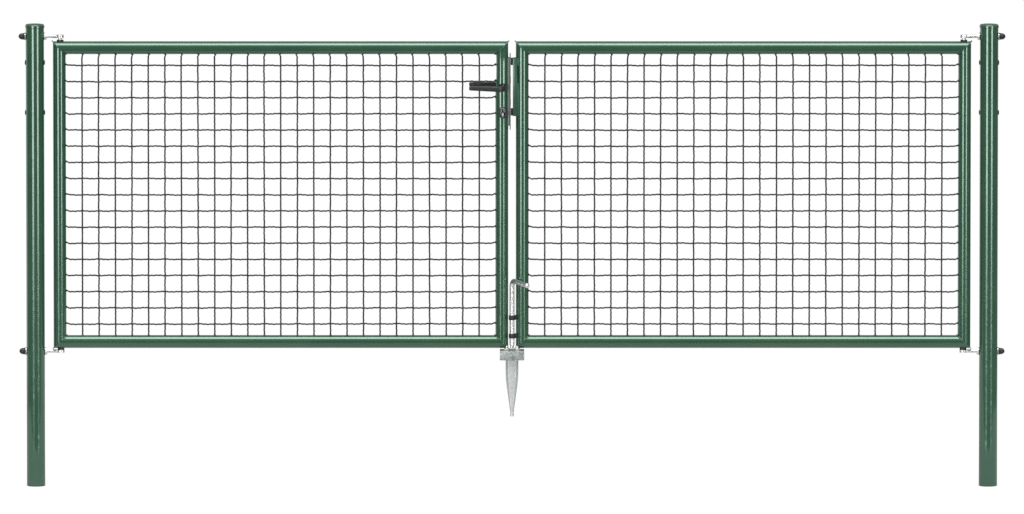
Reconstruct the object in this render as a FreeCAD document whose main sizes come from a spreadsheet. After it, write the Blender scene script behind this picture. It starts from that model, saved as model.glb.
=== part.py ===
import FreeCAD
import Part
import Sketcher
import math
import os
from types import SimpleNamespace

# Double leaf garden gate with woven wire mesh, hung between two round posts.
# Millimetres. The origin is the middle of the left post's foot, +X runs to the
# right post, +Y away from the viewer, who stands on the side of the stops, +Z up.

doc = FreeCAD.newDocument("double_mesh_gate")
sheet = doc.addObject("Spreadsheet::Sheet", "sizes")

# Driving sizes
sizes_mm = {
    "post_spacing": 3090,
    "post_diameter": 60,
    "post_wall": 1.5,
    "post_rise": 44,
    "cap_overhang": 1.5,
    "cap_rim": 10,
    "cap_dome": 3,
    "cap_plug_depth": 15,
    "cap_plug_slack": 0.3,
    "plug_diameter": 16,
    "plug_proud": 3,
    "upper_plug_drop": 85,
    "lower_plug_drop": 247.5,
    "leaf_base": 450,
    "leaf_height": 1000,
    "hinge_gap": 28,
    "meeting_gap": 24,
    "frame_diameter": 42,
    "frame_wall": 1.5,
    "mesh_wire": 4,
    "upright_pitch": 53.6,
    "cross_pitch": 52.7,
    "pin_inset": 24,
    "pin_diameter": 12,
    "pin_depth": 25,
    "pin_end": 1,
    "pin_clearance": 0.05,
    "bearing_gap": 0.3,
    "bush_diameter": 22,
    "bush_height": 5,
    "eye_diameter": 24,
    "eye_thickness": 9.6,
    "neck_length": 2,
    "upper_eye_gap": 6.2,
    "rod_diameter": 11,
    "washer_diameter": 25,
    "washer_thickness": 2.5,
    "nut_width": 21,
    "nut_thickness": 6,
    "cap_nut_diameter": 23,
    "cap_nut_length": 20.5,
    "cap_nut_bore": 13,
    "cap_nut_dome": 13,
    "plate_height": 250,
    "plate_drop": 38,
    "plate_width": 24,
    "plate_thickness": 3,
    "plate_proud": 7.5,
    "latch_width": 12,
    "latch_height": 20,
    "latch_proud": 0.8,
    "dead_bolt_drop": 150,
    "latch_drop": 78,
    "case_depth": 34,
    "case_thickness": 18,
    "case_end_margin": 14,
    "lock_backset": 18,
    "spindle_drop": 109,
    "spindle_width": 8,
    "spindle_slack": 0.4,
    "rose_diameter": 25,
    "rose_proud": 7,
    "lever_height": 17,
    "lever_thickness": 12,
    "lever_reach": 55,
    "lever_length": 109,
    "lever_bend": 14,
    "cylinder_drop": 185,
    "cylinder_diameter": 17,
    "cylinder_web": 10,
    "cylinder_height": 33,
    "cylinder_proud": 4,
    "keep_height": 188,
    "keep_drop": 54,
    "keep_width": 36,
    "keep_steel": 2.5,
    "keep_projection": 9.4,
    "keep_slot_length": 57,
    "keep_slot_depth": 5,
    "keep_slot_drop": 24,
    "buffer_gap": 0.4,
    "buffer_width": 16,
    "buffer_height": 23,
    "bolt_diameter": 16,
    "bolt_offset": 16,
    "bolt_tip_diameter": 12,
    "bolt_tip_length": 11,
    "bolt_rest_gap": 5,
    "bolt_height": 226,
    "bolt_bend": 20,
    "handle_length": 118,
    "handle_turn": 65,
    "handle_droop": 3,
    "guide_wall": 2.2,
    "guide_slack": 0.3,
    "guide_height": 15,
    "guide_lug": 8,
    "upper_guide_rise": 93.5,
    "lower_guide_rise": 33.5,
    "socket_width": 79,
    "socket_depth": 64,
    "socket_height": 30,
    "socket_steel": 4,
    "socket_drop": 5,
    "socket_hole": 19,
    "spike_length": 211,
    "spike_top": 42,
    "spike_shoulder": 32,
    "spike_neck": 17,
    "spike_bottom": 13,
    "spike_steel": 3,
    "spike_clearance": 1,
    "stop_height": 16,
    "stop_head": 8,
    "stop_width": 17,
    "stop_shank": 10,
    "stop_offset": 18,
    "stop_spread": 16.7,
}
for row, alias in enumerate(sizes_mm, 1):
    sheet.set(f"A{row}", alias)
    sheet.set(f"B{row}", str(sizes_mm[alias]))
    sheet.setAlias(f"B{row}", alias)


class Size:
    """A length that knows its number and the expression that a property is bound to."""

    def __init__(self, number, text):
        self.number = number
        self.text = text

    def combine(self, other, sign, number, swap=False):
        text = other.text if isinstance(other, Size) else str(other)
        first, second = (text, self.text) if swap else (self.text, text)
        return Size(number, f"({first} {sign} {second})")

    def __add__(self, other):
        return self.combine(other, "+", self.number + plain(other))

    def __radd__(self, other):
        return self.combine(other, "+", plain(other) + self.number, swap=True)

    def __sub__(self, other):
        return self.combine(other, "-", self.number - plain(other))

    def __rsub__(self, other):
        return self.combine(other, "-", plain(other) - self.number, swap=True)

    def __mul__(self, other):
        return self.combine(other, "*", self.number * plain(other))

    def __rmul__(self, other):
        return self.combine(other, "*", plain(other) * self.number, swap=True)

    def __truediv__(self, other):
        return self.combine(other, "/", self.number / plain(other))

    def __neg__(self):
        return Size(-self.number, f"(0 - {self.text})")


def plain(value):
    return value.number if isinstance(value, Size) else value


def text_of(value):
    return value.text if isinstance(value, Size) else str(value)


mm = SimpleNamespace(**{alias: Size(float(sizes_mm[alias]), "sizes." + alias) for alias in sizes_mm})
finished = []


def bind(item, prop, value):
    """Bind a property to a size, or set it when the value is a plain number."""
    item.setExpression(prop, text_of(value))


def place(item, x=0, y=0, z=0, axis=None, angle=0):
    """Put an object at a point of the gate, turned about an axis through that point."""
    if axis is not None:
        turned = FreeCAD.Rotation(FreeCAD.Vector(*axis), plain(angle))
        item.Placement = FreeCAD.Placement(FreeCAD.Vector(0, 0, 0), turned)
    bind(item, "Placement.Base.x", x)
    bind(item, "Placement.Base.y", y)
    bind(item, "Placement.Base.z", z)
    return item


def piece(item, name):
    """Name an object as one of the finished pieces."""
    item.Label = name
    finished.append(item)
    return item


# Primitives and booleans
upright = ((0, 0, 1), 0)
along_x = ((0, 1, 0), 90)
along_y = ((1, 0, 0), -90)


def cylinder(name, radius, length, x=0, y=0, z=0, direction=upright):
    item = doc.addObject("Part::Cylinder", name)
    bind(item, "Radius", radius)
    bind(item, "Height", length)
    return place(item, x, y, z, *direction)


def box(name, low, high):
    """A box between two corners, each given as three sizes."""
    item = doc.addObject("Part::Box", name)
    for prop, start, end in zip(("Length", "Width", "Height"), low, high):
        bind(item, prop, end - start)
    return place(item, *low)


def cut(name, base, tool):
    item = doc.addObject("Part::Cut", name)
    item.Base = base
    item.Tool = tool
    return item


def fuse(name, pieces):
    item = doc.addObject("Part::MultiFuse", name)
    item.Shapes = pieces
    return item


def group(name, pieces):
    """Like pieces that do not touch, kept together under one name."""
    item = doc.addObject("Part::Compound", name)
    item.Links = pieces
    return item


# Sketches
def origin_plane(body, role):
    return next(item for item in body.Origin.OriginFeatures if item.Role == role)


def new_body(name):
    return doc.addObject("PartDesign::Body", name)


def new_sketch(body, name, role, offset=0):
    sketch = body.newObject("Sketcher::SketchObject", name)
    sketch.AttachmentSupport = [(origin_plane(body, role), "")]
    sketch.MapMode = "FlatFace"
    bind(sketch, "AttachmentOffset.Base.z", offset)
    return sketch


def locate(sketch, geometry, vertex, x, y):
    """Fix a vertex of a sketch at two sizes measured from the sketch's origin."""
    for kind, value, axis in (("DistanceX", x, -2), ("DistanceY", y, -1)):
        if isinstance(value, Size):
            at = sketch.addConstraint(Sketcher.Constraint(kind, -1, 1, geometry, vertex, value.number))
            bind(sketch, f"Constraints[{at}]", value)
        else:
            sketch.addConstraint(Sketcher.Constraint("PointOnObject", geometry, vertex, axis))


def vector(x, y):
    return FreeCAD.Vector(plain(x), plain(y), 0)


def outline(sketch, points):
    """A closed outline of straight lines through points, a plain 0 lying on an axis."""
    first = sketch.GeometryCount
    count = len(points)
    for at, point in enumerate(points):
        sketch.addGeometry(Part.LineSegment(vector(*point), vector(*points[(at + 1) % count])))
    for at in range(count):
        nearby = first + (at + 1) % count
        sketch.addConstraint(Sketcher.Constraint("Coincident", first + at, 2, nearby, 1))
    for at, point in enumerate(points):
        locate(sketch, first + at, 1, *point)


def ring(sketch, radius, x=0, y=0):
    """A circle of a given radius about a point."""
    circle = Part.Circle(vector(x, y), FreeCAD.Vector(0, 0, 1), plain(radius))
    at = sketch.addGeometry(circle)
    locate(sketch, at, 3, x, y)
    fixed = sketch.addConstraint(Sketcher.Constraint("Radius", at, plain(radius)))
    bind(sketch, f"Constraints[{fixed}]", radius)


def octagon(sketch, width, height):
    """An upright rectangle about the origin with its corners cut off."""
    half_wide = width / 2
    half_high = height / 2
    corner = width / 4
    outline(sketch, [
        (half_wide - corner, half_high), (corner - half_wide, half_high),
        (-half_wide, half_high - corner), (-half_wide, corner - half_high),
        (corner - half_wide, -half_high), (half_wide - corner, -half_high),
        (half_wide, corner - half_high), (half_wide, half_high - corner),
    ])


def pad(body, name, sketch, length, midplane=False):
    item = body.newObject("PartDesign::Pad", name)
    item.Profile = sketch
    bind(item, "Length", length)
    item.Midplane = midplane
    return item


def pocket_through(body, name, sketch):
    """Cut a sketch right through the body, both ways."""
    item = body.newObject("PartDesign::Pocket", name)
    item.Profile = sketch
    item.Type = "ThroughAll"
    item.Midplane = True
    return item


def revolve(body, name, sketch):
    """Turn a sketch once about its own vertical axis."""
    item = body.newObject("PartDesign::Revolution", name)
    item.Profile = sketch
    item.ReferenceAxis = (sketch, ["V_Axis"])
    item.Angle = 360
    return item


def domed(radius, base, rise):
    """The last points of a turned outline: a low dome in three straight steps."""
    return [(radius, base), (0.86 * radius, base + 0.55 * rise), (0.5 * radius, base + 0.9 * rise), (0, base + rise)]


# Places worked out from the driving sizes
middle_x = mm.post_spacing / 2
post_radius = mm.post_diameter / 2
frame_radius = mm.frame_diameter / 2
leaf_width = middle_x - post_radius - mm.hinge_gap - mm.meeting_gap / 2
leaf_top = mm.leaf_base + mm.leaf_height
post_height = leaf_top + mm.post_rise
leaf_edge = post_radius + mm.hinge_gap
pin_x = leaf_edge + mm.pin_inset
meeting_edge = leaf_edge + leaf_width
upper_eye_z = leaf_top + mm.bush_height + mm.upper_eye_gap + mm.eye_thickness / 2
lower_eye_z = mm.leaf_base - mm.bush_height - mm.bearing_gap - mm.eye_thickness / 2
eye_heights = (("upper", upper_eye_z), ("lower", lower_eye_z))
plug_heights = (upper_eye_z - mm.upper_plug_drop, upper_eye_z - mm.lower_plug_drop)
sides = ("left", "right")


def across(side, distance):
    """The X that lies a distance from a side's post axis towards the other post."""
    return distance if side == "left" else mm.post_spacing - distance


def outward(side):
    """The direction from the middle of the gate to a side's post."""
    return -1 if side == "left" else 1


def span_x(side, near, far):
    """Low and high X of what spans two distances from a side's post axis."""
    ends = (across(side, near), across(side, far))
    return ends if side == "left" else ends[::-1]


# Posts: round tubes with holes for the eyebolts and for the plugs
def make_post(side):
    centre = across(side, 0)
    shaft = cylinder(side + "_post_shaft", post_radius, post_height, centre)
    inside = cylinder(side + "_post_inside", post_radius - mm.post_wall, post_height, centre)
    cutters = [inside]
    start = centre - mm.post_diameter
    for level, height in eye_heights:
        hole = cylinder(f"{side}_{level}_rod_hole", mm.rod_diameter / 2, 2 * mm.post_diameter,
                        start, 0, height, along_x)
        cutters.append(hole)
    for at, height in enumerate(plug_heights):
        hole = cylinder(f"{side}_plug_hole_{at}", mm.plug_diameter / 2, 2 * mm.post_diameter,
                        start, 0, height, along_x)
        cutters.append(hole)
    piece(cut(side + "_post_cut", shaft, fuse(side + "_post_cutters", cutters)), side + "_post")


# Post caps: a domed rim that rests on the tube and a plug that goes into it
def make_cap(side):
    body = new_body(side + "_cap_body")
    sketch = new_sketch(body, side + "_cap_outline", "XZ_Plane")
    plug_radius = post_radius - mm.post_wall - mm.cap_plug_slack
    rim_radius = post_radius + mm.cap_overhang
    outline(sketch, [
        (0, -mm.cap_plug_depth),
        (plug_radius, -mm.cap_plug_depth),
        (plug_radius, 0),
        (rim_radius, 0),
        *domed(rim_radius, mm.cap_rim, mm.cap_dome),
    ])
    revolve(body, side + "_cap_turned", sketch)
    place(body, across(side, 0), 0, post_height)
    piece(body, side + "_cap")


# Plugs that close the spare hinge holes of both posts
def make_plugs():
    plugs = []
    seat = post_radius - mm.post_wall
    for side in sides:
        centre = across(side, 0)
        for at, height in enumerate(plug_heights):
            for face, start in (("outer", centre - post_radius - mm.plug_proud), ("inner", centre + seat)):
                plugs.append(cylinder(f"{side}_{face}_plug_{at}", mm.plug_diameter / 2,
                                      mm.post_wall + mm.plug_proud, start, 0, height, along_x))
    piece(group("plug_set", plugs), "post_plugs")


# Hinges: an eyebolt through the post, held by a nut and a domed nut over washers
def make_eyebolt(side, level, height):
    name = f"{side}_{level}_eyebolt"
    tail = post_radius + mm.washer_thickness + mm.cap_nut_bore
    neck_start = pin_x - mm.eye_diameter / 2 - mm.neck_length
    low, high = span_x(side, -tail, neck_start)
    rod = cylinder(name + "_rod", mm.rod_diameter / 2, high - low, low, 0, height, along_x)
    eye_base = height - mm.eye_thickness / 2
    neck_low, neck_high = span_x(side, neck_start, pin_x)
    neck = box(name + "_neck", (neck_low, -mm.rod_diameter / 2, eye_base),
               (neck_high, mm.rod_diameter / 2, eye_base + mm.eye_thickness))
    eye = cylinder(name + "_eye", mm.eye_diameter / 2, mm.eye_thickness, across(side, pin_x), 0, eye_base)
    bore = cylinder(name + "_bore", mm.pin_diameter / 2 + mm.pin_clearance, mm.eye_thickness,
                    across(side, pin_x), 0, eye_base)
    piece(cut(name + "_cut", fuse(name + "_solid", [rod, neck, eye]), bore), name)


def make_washers():
    washers = []
    for side in sides:
        for level, height in eye_heights:
            for face, near in (("outer", -post_radius - mm.washer_thickness), ("inner", post_radius)):
                name = f"{side}_{level}_{face}_washer"
                low, high = span_x(side, near, near + mm.washer_thickness)
                disc = cylinder(name + "_disc", mm.washer_diameter / 2, high - low, low, 0, height, along_x)
                hole = cylinder(name + "_hole", mm.rod_diameter / 2, high - low, low, 0, height, along_x)
                washers.append(cut(name, disc, hole))
    piece(group("washer_set", washers), "hinge_washers")


def make_nuts():
    nuts = []
    for side in sides:
        for level, height in eye_heights:
            name = f"{side}_{level}_nut"
            near = post_radius + mm.washer_thickness
            low, high = span_x(side, near, near + mm.nut_thickness)
            prism = doc.addObject("Part::Prism", name + "_prism")
            prism.Polygon = 6
            bind(prism, "Circumradius", mm.nut_width / math.sqrt(3))
            bind(prism, "Height", high - low)
            place(prism, low, 0, height, *along_x)
            hole = cylinder(name + "_hole", mm.rod_diameter / 2, high - low, low, 0, height, along_x)
            nuts.append(cut(name, prism, hole))
    piece(group("nut_set", nuts), "hinge_nuts")


def make_cap_nuts():
    nuts = []
    radius = mm.cap_nut_diameter / 2
    for side in sides:
        for level, height in eye_heights:
            body = new_body(f"{side}_{level}_cap_nut")
            sketch = new_sketch(body, f"{side}_{level}_cap_nut_outline", "XZ_Plane")
            outline(sketch, [
                (0, mm.cap_nut_bore),
                (mm.rod_diameter / 2, mm.cap_nut_bore),
                (mm.rod_diameter / 2, 0),
                (radius, 0),
                *domed(radius, mm.cap_nut_length - mm.cap_nut_dome, mm.cap_nut_dome),
            ])
            revolve(body, f"{side}_{level}_cap_nut_turned", sketch)
            seat = across(side, -post_radius - mm.washer_thickness)
            place(body, seat, 0, height, (0, 1, 0), 90 * outward(side))
            nuts.append(body)
    piece(group("cap_nut_set", nuts), "cap_nuts")


# Leaf frames: four round tubes, mitred where they meet
def mitred_tube(name, length):
    """A tube along X that starts at the origin, its outer side up, cut off at 45 degrees."""
    body = new_body(name + "_tube")
    section = new_sketch(body, name + "_section", "YZ_Plane")
    ring(section, frame_radius)
    ring(section, frame_radius - mm.frame_wall)
    pad(body, name + "_length", section, length)
    mitres = new_sketch(body, name + "_mitres", "XZ_Plane")
    reach = 2 * mm.frame_diameter
    outline(mitres, [
        (frame_radius - reach, reach),
        (frame_radius - reach, -reach),
        (frame_radius + reach, -reach),
    ])
    outline(mitres, [
        (length - frame_radius - reach, -reach),
        (length - frame_radius + reach, -reach),
        (length - frame_radius + reach, reach),
    ])
    pocket_through(body, name + "_mitre_cuts", mitres)
    return body


def make_frame(side):
    low, high = span_x(side, leaf_edge, meeting_edge)
    bars = {}
    bars["top"] = place(mitred_tube(side + "_top", leaf_width), low, 0, leaf_top - frame_radius)
    bars["bottom"] = place(mitred_tube(side + "_bottom", leaf_width), low, 0, mm.leaf_base + frame_radius,
                           (1, 0, 0), 180)
    bars["left"] = place(mitred_tube(side + "_low_x", mm.leaf_height), low + frame_radius, 0, mm.leaf_base,
                         (0, 1, 0), -90)
    bars["right"] = place(mitred_tube(side + "_high_x", mm.leaf_height), high - frame_radius, 0, leaf_top,
                          (0, 1, 0), 90)
    hinge_bar, meeting_bar = (bars["left"], bars["right"]) if side == "left" else (bars["right"], bars["left"])
    pin_at = across(side, pin_x)
    upper_hole = cylinder(side + "_upper_pin_hole", mm.pin_diameter / 2, mm.pin_depth, pin_at, 0,
                          leaf_top - mm.pin_depth)
    lower_hole = cylinder(side + "_lower_pin_hole", mm.pin_diameter / 2, mm.pin_depth, pin_at, 0, mm.leaf_base)
    piece(cut(side + "_top_cut", bars["top"], upper_hole), side + "_top_rail")
    piece(cut(side + "_bottom_cut", bars["bottom"], lower_hole), side + "_bottom_rail")
    piece(hinge_bar, side + "_hinge_stile")
    return meeting_bar


# Hinge pins and the black bushes they stand in
def make_pins(side):
    pin_at = across(side, pin_x)
    radius = mm.pin_diameter / 2
    upper_end = upper_eye_z + mm.eye_thickness / 2 + mm.pin_end
    lower_end = lower_eye_z - mm.eye_thickness / 2 - mm.pin_end
    upper = cylinder(side + "_upper_pin", radius, upper_end - leaf_top + mm.pin_depth, pin_at, 0,
                     leaf_top - mm.pin_depth)
    lower = cylinder(side + "_lower_pin", radius, mm.leaf_base + mm.pin_depth - lower_end, pin_at, 0, lower_end)
    piece(group(side + "_pin_pair", [upper, lower]), side + "_hinge_pins")


def make_bushes(side):
    pin_at = across(side, pin_x)
    low, high = span_x(side, leaf_edge, meeting_edge)
    seat = frame_radius / 2
    bushes = []
    for level, base, rail_z in (("upper", leaf_top - seat, leaf_top - frame_radius),
                                ("lower", mm.leaf_base - mm.bush_height, mm.leaf_base + frame_radius)):
        name = f"{side}_{level}_bush"
        blank = cylinder(name + "_blank", mm.bush_diameter / 2, mm.bush_height + seat, pin_at, 0, base)
        hole = cylinder(name + "_hole", mm.pin_diameter / 2, mm.bush_height + seat, pin_at, 0, base)
        rail = cylinder(name + "_rail", frame_radius, high - low, low, 0, rail_z, along_x)
        bushes.append(cut(name, blank, fuse(name + "_cutters", [hole, rail])))
    piece(group(side + "_bush_pair", bushes), side + "_hinge_bushes")


# Mesh: uprights in front, cross wires behind them, welded where they cross
def make_mesh(side):
    wire = mm.mesh_wire.number
    low_x, high_x = (plain(value) for value in span_x(side, leaf_edge, meeting_edge))
    low_z = mm.leaf_base.number
    high_z = leaf_top.number
    tube = mm.frame_diameter.number
    clear_x = high_x - low_x - 2 * tube
    clear_z = high_z - low_z - 2 * tube
    upright_count = int(clear_x // mm.upright_pitch.number)
    cross_count = int(clear_z // mm.cross_pitch.number)
    first_x = (low_x + high_x - (upright_count - 1) * mm.upright_pitch.number) / 2
    first_z = (low_z + high_z - (cross_count - 1) * mm.cross_pitch.number) / 2
    uprights = [first_x + at * mm.upright_pitch.number for at in range(upright_count)]
    crosses = [first_z + at * mm.cross_pitch.number for at in range(cross_count)]
    half = (upright_count + 1) // 2
    seam = (uprights[half - 1] + uprights[half]) / 2
    names = ("outer", "inner") if side == "left" else ("inner", "outer")
    spans = ((low_x + tube, seam, uprights[:half]), (seam, high_x - tube, uprights[half:]))
    for name, (start, end, members) in zip(names, spans):
        bars = []
        for x in members:
            corner = FreeCAD.Vector(x - wire / 2, -wire, low_z + tube)
            bars.append(Part.makeBox(wire, wire, clear_z, corner))
        for z in crosses:
            corner = FreeCAD.Vector(start, 0, z - wire / 2)
            bars.append(Part.makeBox(end - start, wire, wire, corner))
        panel = doc.addObject("Part::Feature", f"{side}_{name}_panel")
        panel.Shape = bars[0].multiFuse(bars[1:]).removeSplitter()
        piece(panel, f"{side}_mesh_{name}")


# Lock on the left leaf's meeting stile
lock_x = meeting_edge - mm.lock_backset
plate_face_x = meeting_edge + mm.plate_proud
plate_top = leaf_top - mm.plate_drop
plate_base = plate_top - mm.plate_height
spindle_z = plate_top - mm.spindle_drop
cylinder_z = plate_top - mm.cylinder_drop
left_stile_x = meeting_edge - frame_radius


def profile_cylinder(name, reach):
    """A keyhole shaped bar along Y: a round barrel with a web below it."""
    body = new_body(name)
    barrel = new_sketch(body, name + "_barrel_circle", "XZ_Plane")
    ring(barrel, mm.cylinder_diameter / 2)
    pad(body, name + "_barrel", barrel, 2 * reach, midplane=True)
    web = new_sketch(body, name + "_web_outline", "XZ_Plane")
    half = mm.cylinder_web / 2
    drop = mm.cylinder_height - mm.cylinder_diameter / 2
    outline(web, [(-half, 0), (-half, -drop), (half, -drop), (half, 0)])
    pad(body, name + "_web", web, 2 * reach, midplane=True)
    return place(body, lock_x, 0, cylinder_z)


def make_lock(meeting_bar):
    barrel = profile_cylinder("cylinder_body", frame_radius + mm.cylinder_proud)
    piece(barrel, "lock_cylinder")
    half_case = mm.case_thickness / 2
    case_low = (plate_face_x - mm.plate_thickness - mm.case_depth, -half_case, plate_base + mm.case_end_margin)
    case_high = (plate_face_x - mm.plate_thickness, half_case, plate_top - mm.case_end_margin)
    case_block = box("case_block", case_low, case_high)
    spindle_hole = cylinder("spindle_hole", mm.spindle_width / math.sqrt(2) + mm.spindle_slack,
                            2 * mm.frame_diameter, lock_x, -mm.frame_diameter, spindle_z, along_y)
    case_cutters = fuse("case_cutters", [spindle_hole, profile_cylinder("case_keyhole", mm.frame_diameter)])
    piece(cut("case_cut", case_block, case_cutters), "lock_case")
    stile_cutters = fuse("stile_cutters", [
        box("case_slot", case_low, case_high),
        cylinder("spindle_way", mm.spindle_width / math.sqrt(2) + mm.spindle_slack,
                 2 * mm.frame_diameter, lock_x, -mm.frame_diameter, spindle_z, along_y),
        profile_cylinder("stile_keyhole", mm.frame_diameter),
    ])
    piece(cut("lock_stile_cut", meeting_bar, stile_cutters), "left_lock_stile")
    make_faceplate()
    make_roses()
    make_levers()


def make_faceplate():
    """The plate on the lock's edge, with the noses of the latch and dead bolt drawn back in it."""
    body = new_body("faceplate_body")
    plate = new_sketch(body, "faceplate_outline", "YZ_Plane")
    half = mm.plate_width / 2
    outline(plate, [(-half, 0), (half, 0), (half, mm.plate_height), (-half, mm.plate_height)])
    pad(body, "faceplate_sheet", plate, mm.plate_thickness)
    nose = mm.latch_width / 2
    for name, drop in (("latch", mm.latch_drop), ("dead_bolt", mm.dead_bolt_drop)):
        sketch = new_sketch(body, name + "_outline", "YZ_Plane")
        top = mm.plate_height - drop
        outline(sketch, [(-nose, top - mm.latch_height), (nose, top - mm.latch_height), (nose, top),
                         (-nose, top)])
        pad(body, name + "_nose", sketch, mm.plate_thickness + mm.latch_proud)
    place(body, plate_face_x - mm.plate_thickness, 0, plate_base)
    piece(body, "lock_faceplate")


def make_roses():
    """Round roses that seat on the stile in front and behind, about the spindle."""
    roses = []
    reach = frame_radius + mm.rose_proud
    neck = mm.lever_height / 2 + mm.lever_thickness / 8 + mm.bearing_gap
    half_case = mm.case_thickness / 2
    depth = reach - half_case
    for name, start in (("front", -reach), ("back", half_case)):
        disc = cylinder(name + "_rose_disc", mm.rose_diameter / 2, depth, lock_x, start, spindle_z, along_y)
        hole = cylinder(name + "_rose_hole", neck, depth, lock_x, start, spindle_z, along_y)
        stile = cylinder(name + "_rose_seat", frame_radius, 2 * mm.rose_diameter, left_stile_x, 0,
                         spindle_z - mm.rose_diameter)
        roses.append(cut(name + "_rose", disc, fuse(name + "_rose_cutters", [hole, stile])))
    piece(group("rose_pair", roses), "lever_roses")


def make_lever(name, toward):
    """A round bar that leaves the rose, bends and runs level towards the hinge."""
    body = new_body(name + "_body")
    start = frame_radius + 2 * mm.bearing_gap
    run = mm.lever_reach - mm.lever_bend
    section = new_sketch(body, name + "_section", "XZ_Plane", -toward * start)
    octagon(section, mm.lever_thickness, mm.lever_height)
    path = new_sketch(body, name + "_path", "XY_Plane")
    lines = path.addGeometry(Part.LineSegment(vector(0, toward * start), vector(0, toward * run)))
    centre = FreeCAD.Vector(-mm.lever_bend.number, toward * run.number, 0)
    circle = Part.Circle(centre, FreeCAD.Vector(0, 0, 1), mm.lever_bend.number)
    angles = (0, math.pi / 2) if toward > 0 else (-math.pi / 2, 0)
    arc = path.addGeometry(Part.ArcOfCircle(circle, *angles))
    arc_start, arc_end = (1, 2) if toward > 0 else (2, 1)
    arm = path.addGeometry(Part.LineSegment(vector(-mm.lever_bend, toward * mm.lever_reach),
                                            vector(-mm.lever_length, toward * mm.lever_reach)))
    path.addConstraint(Sketcher.Constraint("Coincident", lines, 2, arc, arc_start))
    path.addConstraint(Sketcher.Constraint("Coincident", arc, arc_end, arm, 1))
    locate(path, lines, 1, 0, toward * start)
    locate(path, lines, 2, 0, toward * run)
    size = path.addConstraint(Sketcher.Constraint("Radius", arc, mm.lever_bend.number))
    bind(path, f"Constraints[{size}]", mm.lever_bend)
    locate(path, arm, 1, -mm.lever_bend, toward * mm.lever_reach)
    locate(path, arm, 2, -mm.lever_length, toward * mm.lever_reach)
    bar = body.newObject("PartDesign::AdditivePipe", name + "_bar")
    bar.Profile = section
    bar.Spine = (path, ["Edge1", "Edge2", "Edge3"])
    place(body, lock_x, 0, spindle_z)
    return body


def make_levers():
    half = mm.spindle_width / 2
    end = mm.lever_reach - mm.lever_bend
    for name, toward in (("front_lever", -1), ("back_lever", 1)):
        bar = make_lever(name, toward)
        socket = box(name + "_socket", (lock_x - half, -end, spindle_z - half), (lock_x + half, end,
                                                                                 spindle_z + half))
        piece(cut(name + "_cut", bar, socket), name)
    piece(box("spindle_bar", (lock_x - half, -end, spindle_z - half), (lock_x + half, end,
                                                                      spindle_z + half)), "lever_spindle")


# Keep on the right leaf's meeting stile: a channel that wraps the tube, with rubber buffers
right_edge = mm.post_spacing - meeting_edge
right_stile_x = right_edge + frame_radius
keep_face_x = right_edge - mm.keep_projection
keep_top = leaf_top - mm.keep_drop
keep_base = keep_top - mm.keep_height


def make_keep():
    body = new_body("keep_channel_body")
    section = new_sketch(body, "keep_section", "XY_Plane")
    half = mm.keep_width / 2
    reach = mm.keep_projection + frame_radius
    inner = half - mm.keep_steel
    outline(section, [
        (0, -half), (reach, -half), (reach, -inner), (mm.keep_steel, -inner),
        (mm.keep_steel, inner), (reach, inner), (reach, half), (0, half),
    ])
    pad(body, "keep_length", section, mm.keep_height)
    notch = new_sketch(body, "keep_notches", "XZ_Plane")
    slot_top = mm.keep_height - mm.keep_slot_drop
    seat = mm.keep_projection + frame_radius / 2
    outline(notch, [
        (seat - mm.keep_slot_depth, slot_top - mm.keep_slot_length), (reach, slot_top - mm.keep_slot_length),
        (reach, slot_top), (seat - mm.keep_slot_depth, slot_top),
    ])
    pocket_through(body, "keep_notch_cuts", notch)
    openings = new_sketch(body, "keep_openings", "YZ_Plane")
    wide = mm.latch_width / 2 + 2 * mm.bearing_gap
    for drop in (mm.latch_drop, mm.dead_bolt_drop):
        top = plate_top - drop - keep_base + 2 * mm.bearing_gap
        base = top - mm.latch_height - 4 * mm.bearing_gap
        outline(openings, [(-wide, base), (wide, base), (wide, top), (-wide, top)])
    pocket_through(body, "keep_opening_cuts", openings)
    place(body, keep_face_x, 0, keep_base)
    stile = cylinder("keep_stile", frame_radius, mm.keep_height, right_stile_x, 0, keep_base)
    piece(cut("keep_cut", body, stile), "keep_channel")
    buffers = []
    low_x = plate_face_x + mm.buffer_gap
    half_buffer = mm.buffer_width / 2
    for name, base in (("upper", keep_top - mm.buffer_height), ("lower", keep_base + 2 * mm.buffer_gap)):
        buffers.append(box(name + "_buffer", (low_x, -half_buffer, base),
                           (keep_face_x, half_buffer, base + mm.buffer_height)))
    piece(group("buffer_pair", buffers), "keep_buffers")


# Drop bolt on the right leaf: a bent rod in two guides, over a socket in the ground
socket_top = mm.leaf_base - mm.socket_drop
bolt_base = socket_top + mm.bolt_rest_gap
bolt_y = -mm.bolt_offset


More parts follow.
